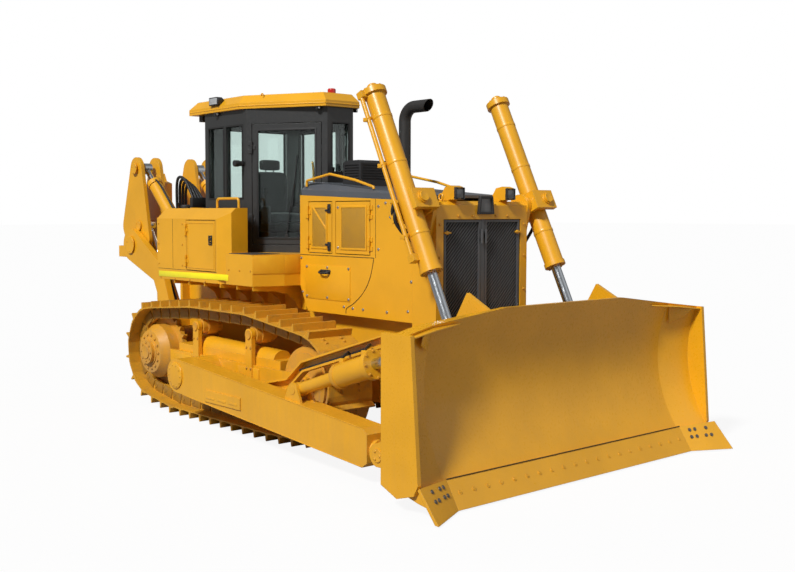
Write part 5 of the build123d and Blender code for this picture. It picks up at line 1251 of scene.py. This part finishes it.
@dataclass
class RipperFittings:
    """Pin keepers, hoses and the shank's retaining pin."""
    shop: Shop
    link_pin: tuple[float, float] = (-2.500, 1.000)
    beam_pin: tuple[float, float] = (-3.553, 1.985)
    upright_pin: tuple[float, float] = (-3.567, 3.055)
    tower_pin: tuple[float, float] = (-2.514, 2.070)
    lift_eye: tuple[float, float] = (-3.490, 2.255)
    lift_base: tuple[float, float] = (-2.480, 0.600)
    lane_y: float = 0.430

    def keeper(self, pin: tuple[float, float], y: float, radius: float) -> list[bpy.types.Object]:
        """Round keeper plate with three bolts."""
        out = (0, 1 if y > 0 else -1, 0)
        model = self.shop.bolt(0.011)
        parts = [self.shop.disc((pin[0], y, pin[1]), out, radius, 0.016, 0.003, 36, radius * 0.3, 0.005)]
        parts += self.shop.ring(model, (pin[0], y, pin[1]), out, radius * 0.72, 3, 0.5)
        self.shop.drop(model)
        return parts

    def build(self) -> None:
        """Adds the keepers, hoses and pins."""
        shop = self.shop
        for side in Side:
            name, out = side.name.lower(), side.value
            shop.finish(f"ripper_link_keepers_{name}", self.keeper(self.beam_pin, out * 0.719, 0.125), "yellow",
                        "ripper_pins")
            shop.finish(f"ripper_case_keepers_{name}", self.keeper(self.link_pin, out * 0.755, 0.085)
                        + self.keeper(self.tower_pin, out * 0.545, 0.070)
                        + self.keeper(self.lift_base, out * 0.545, 0.070), "yellow", "chassis")
            shop.finish(f"ripper_beam_keepers_{name}", self.keeper(self.upright_pin, out * 0.632, 0.080)
                        + self.keeper(self.lift_eye, out * 0.616, 0.075), "yellow", "ripper_carrier")
            for label, base, tip, length, lean in (("tilt", self.tower_pin, self.upright_pin, 1.15, 1),
                                                   ("lift", self.lift_base, self.lift_eye, 1.18, 1)):
                along = Vector((tip[0] - base[0], 0, tip[1] - base[1])).normalized()
                up = Vector((along.z, 0, -along.x)) * lean
                start = Vector((base[0], out * self.lane_y, base[1]))
                body = f"ripper_{label}_cylinder_barrels"
                hoses = []
                for index, reach in enumerate((length - 0.05, 0.28)):
                    shift = Vector((0, (index - 0.5) * 0.06, 0))
                    hoses.append(shop.tube([start + along * reach + up * 0.095 + shift,
                                            start + along * (reach - 0.05) + up * 0.135 + shift,
                                            start + along * (reach * 0.5) + up * 0.128 + shift,
                                            start + along * 0.10 + up * 0.13 + shift,
                                            start + along * -0.06 + up * 0.10 + shift], 0.014))
                shop.finish(f"ripper_{label}_hoses_{name}", hoses, "rubber", body)
                model = shop.bolt(0.010)
                bolts = shop.ring(model, start + along * length, along, 0.075, 8)
                shop.drop(model)
                bolts.append(shop.disc(start + along * 0.28, along, 0.097, 0.028, 0.003, 36))
                shop.finish(f"ripper_{label}_glands_{name}", bolts, "bolt_yellow", body)
        loops = []
        for index in range(4):
            y, rise = -0.55 - 0.045 * index, 0.03 * index
            loops.append(shop.tube([(-1.86, y, 2.60), (-2.02, y, 2.76 + rise), (-2.22, y, 2.83 + rise),
                                    (-2.36, y + 0.04, 2.74 + rise), (-2.42, y + 0.08, 2.50),
                                    (-2.46, y + 0.12, 2.22)], 0.019))
        loops.append(shop.block((-1.90, -0.72, 2.50), (-1.83, -0.50, 2.63), 0.006))
        shop.finish("ripper_hose_loops", loops, "rubber", "chassis")
        pin = [shop.disc((-3.85, out * 0.275, 2.05), (0, out, 0), 0.045, 0.03, 0.004, 28, 0.012, 0.005)
               for out in (-1, 1)]
        pin.append(shop.block((-4.105, -0.10, 1.92), (-4.116, 0.10, 2.05), 0.003))
        shop.finish("shank_retaining_pin", pin, "pin_steel", "ripper_carrier")


@dataclass(frozen=True)
class Studio:
    """Floor, light and camera."""
    eye: Point = (9.797, -7.625, 2.435)
    yaw: float = 140.2933
    pitch: float = -3.706
    lens: float = 47.22
    shift: tuple[float, float] = (0.0495, -0.0072)
    floor_size: float = 400.0
    whiteness: float = 0.90
    ambient: float = 0.22

    def build(self) -> None:
        """Adds the floor, the lamps, the world and the camera."""
        self.floor()
        self.lamp("key_light", (0.19, -0.72, 0.67), 3.4, 8.0)
        self.lamp("fill_light", (0.90, 0.45, 0.35), 0.25, 60.0)
        self.world()
        self.camera()

    def floor(self) -> None:
        """A pale floor that shows white to the camera and keeps the shadow."""
        bpy.ops.mesh.primitive_plane_add(size=self.floor_size, location=(0, 0, 0))
        floor = bpy.context.object
        floor.name = "studio_floor"
        g = Graph("pale_floor")
        ray = g.node("ShaderNodeLightPath")
        seen = Signal(g, ray.outputs["Is Camera Ray"])
        floor_mat = g.finish(Base_Color=g.mix(seen, (0.30, 0.29, 0.28), (0.86, 0.86, 0.86)), Roughness=0.9)
        floor.data.materials.append(floor_mat)
        shader, output = g.nodes["Principled BSDF"], g.nodes["Material Output"]
        white = g.node("ShaderNodeEmission", Color=(1.0, 1.0, 1.0), Strength=1.0)
        mixed = g.node("ShaderNodeMixShader")
        pale = seen * self.whiteness
        g.feed(mixed.inputs[0], pale)
        g.links.new(shader.outputs[0], mixed.inputs[1])
        g.links.new(white.outputs[0], mixed.inputs[2])
        g.links.new(mixed.outputs[0], output.inputs[0])

    def lamp(self, name: str, towards: Point, strength: float, spread: float) -> None:
        """Adds a sun lamp.

        Args:
            name: Name of the lamp.
            towards: Direction from the object to the lamp.
            strength: Strength of the sun.
            spread: Width of its disc in degrees.
        """
        bpy.ops.object.light_add(type="SUN", location=Vector(towards) * 12)
        lamp = bpy.context.object
        lamp.name = name
        lamp.rotation_euler = Vector(towards).to_track_quat("Z", "Y").to_euler()
        lamp.data.energy, lamp.data.angle = strength, radians(spread)

    def world(self) -> None:
        """White for the camera and for rays through glass; softer as light and in reflections."""
        world = bpy.data.worlds.new("studio_world")
        bpy.context.scene.world = world
        world.use_nodes = True
        nodes, links = world.node_tree.nodes, world.node_tree.links
        nodes.clear()
        ray, output = nodes.new("ShaderNodeLightPath"), nodes.new("ShaderNodeOutputWorld")
        seen, light, mixed = (nodes.new(kind) for kind in
                              ("ShaderNodeBackground", "ShaderNodeBackground", "ShaderNodeMixShader"))
        seen.inputs["Color"].default_value = light.inputs["Color"].default_value = (1, 1, 1, 1)
        seen.inputs["Strength"].default_value, light.inputs["Strength"].default_value = 1.0, self.ambient
        most = nodes.new("ShaderNodeMath")
        most.operation = "MAXIMUM"
        links.new(ray.outputs["Is Camera Ray"], most.inputs[0])
        links.new(ray.outputs["Is Transmission Ray"], most.inputs[1])
        links.new(most.outputs[0], mixed.inputs[0])
        links.new(light.outputs[0], mixed.inputs[1])
        links.new(seen.outputs[0], mixed.inputs[2])
        links.new(mixed.outputs[0], output.inputs[0])

    def camera(self) -> None:
        """Puts the camera where the photograph was taken."""
        bpy.ops.object.camera_add(location=self.eye)
        camera = bpy.context.object
        camera.name = "photo_camera"
        yaw, pitch = radians(self.yaw), radians(self.pitch)
        looks = Vector((cos(yaw) * cos(pitch), sin(yaw) * cos(pitch), sin(pitch)))
        camera.rotation_euler = looks.to_track_quat("-Z", "Y").to_euler()
        camera.data.lens, camera.data.sensor_width = self.lens, 36.0
        camera.data.shift_x, camera.data.shift_y = self.shift
        camera.data.clip_end = 1000.0
        bpy.context.scene.camera = camera
        bpy.context.scene.view_settings.view_transform = "Standard"


def main() -> None:
    """Builds the studio, the finishes and each sub-assembly."""
    logging.basicConfig(level=logging.INFO)
    bpy.ops.object.select_all(action="DESELECT")
    Studio().build()
    finishes = Dresser().build()
    log.info("finishes %d", len(finishes))
    shop = Shop(finishes)
    for group in (BladeFittings, LiftCylinderFittings, Guard, EngineEnclosure, PlatformFittings, CabFittings, Seat,
                  Undercarriage, PushArmFittings, RipperFittings):
        group(shop).build()
    log.info("pieces %d", shop.count)


if __name__ == "__main__":
    main()
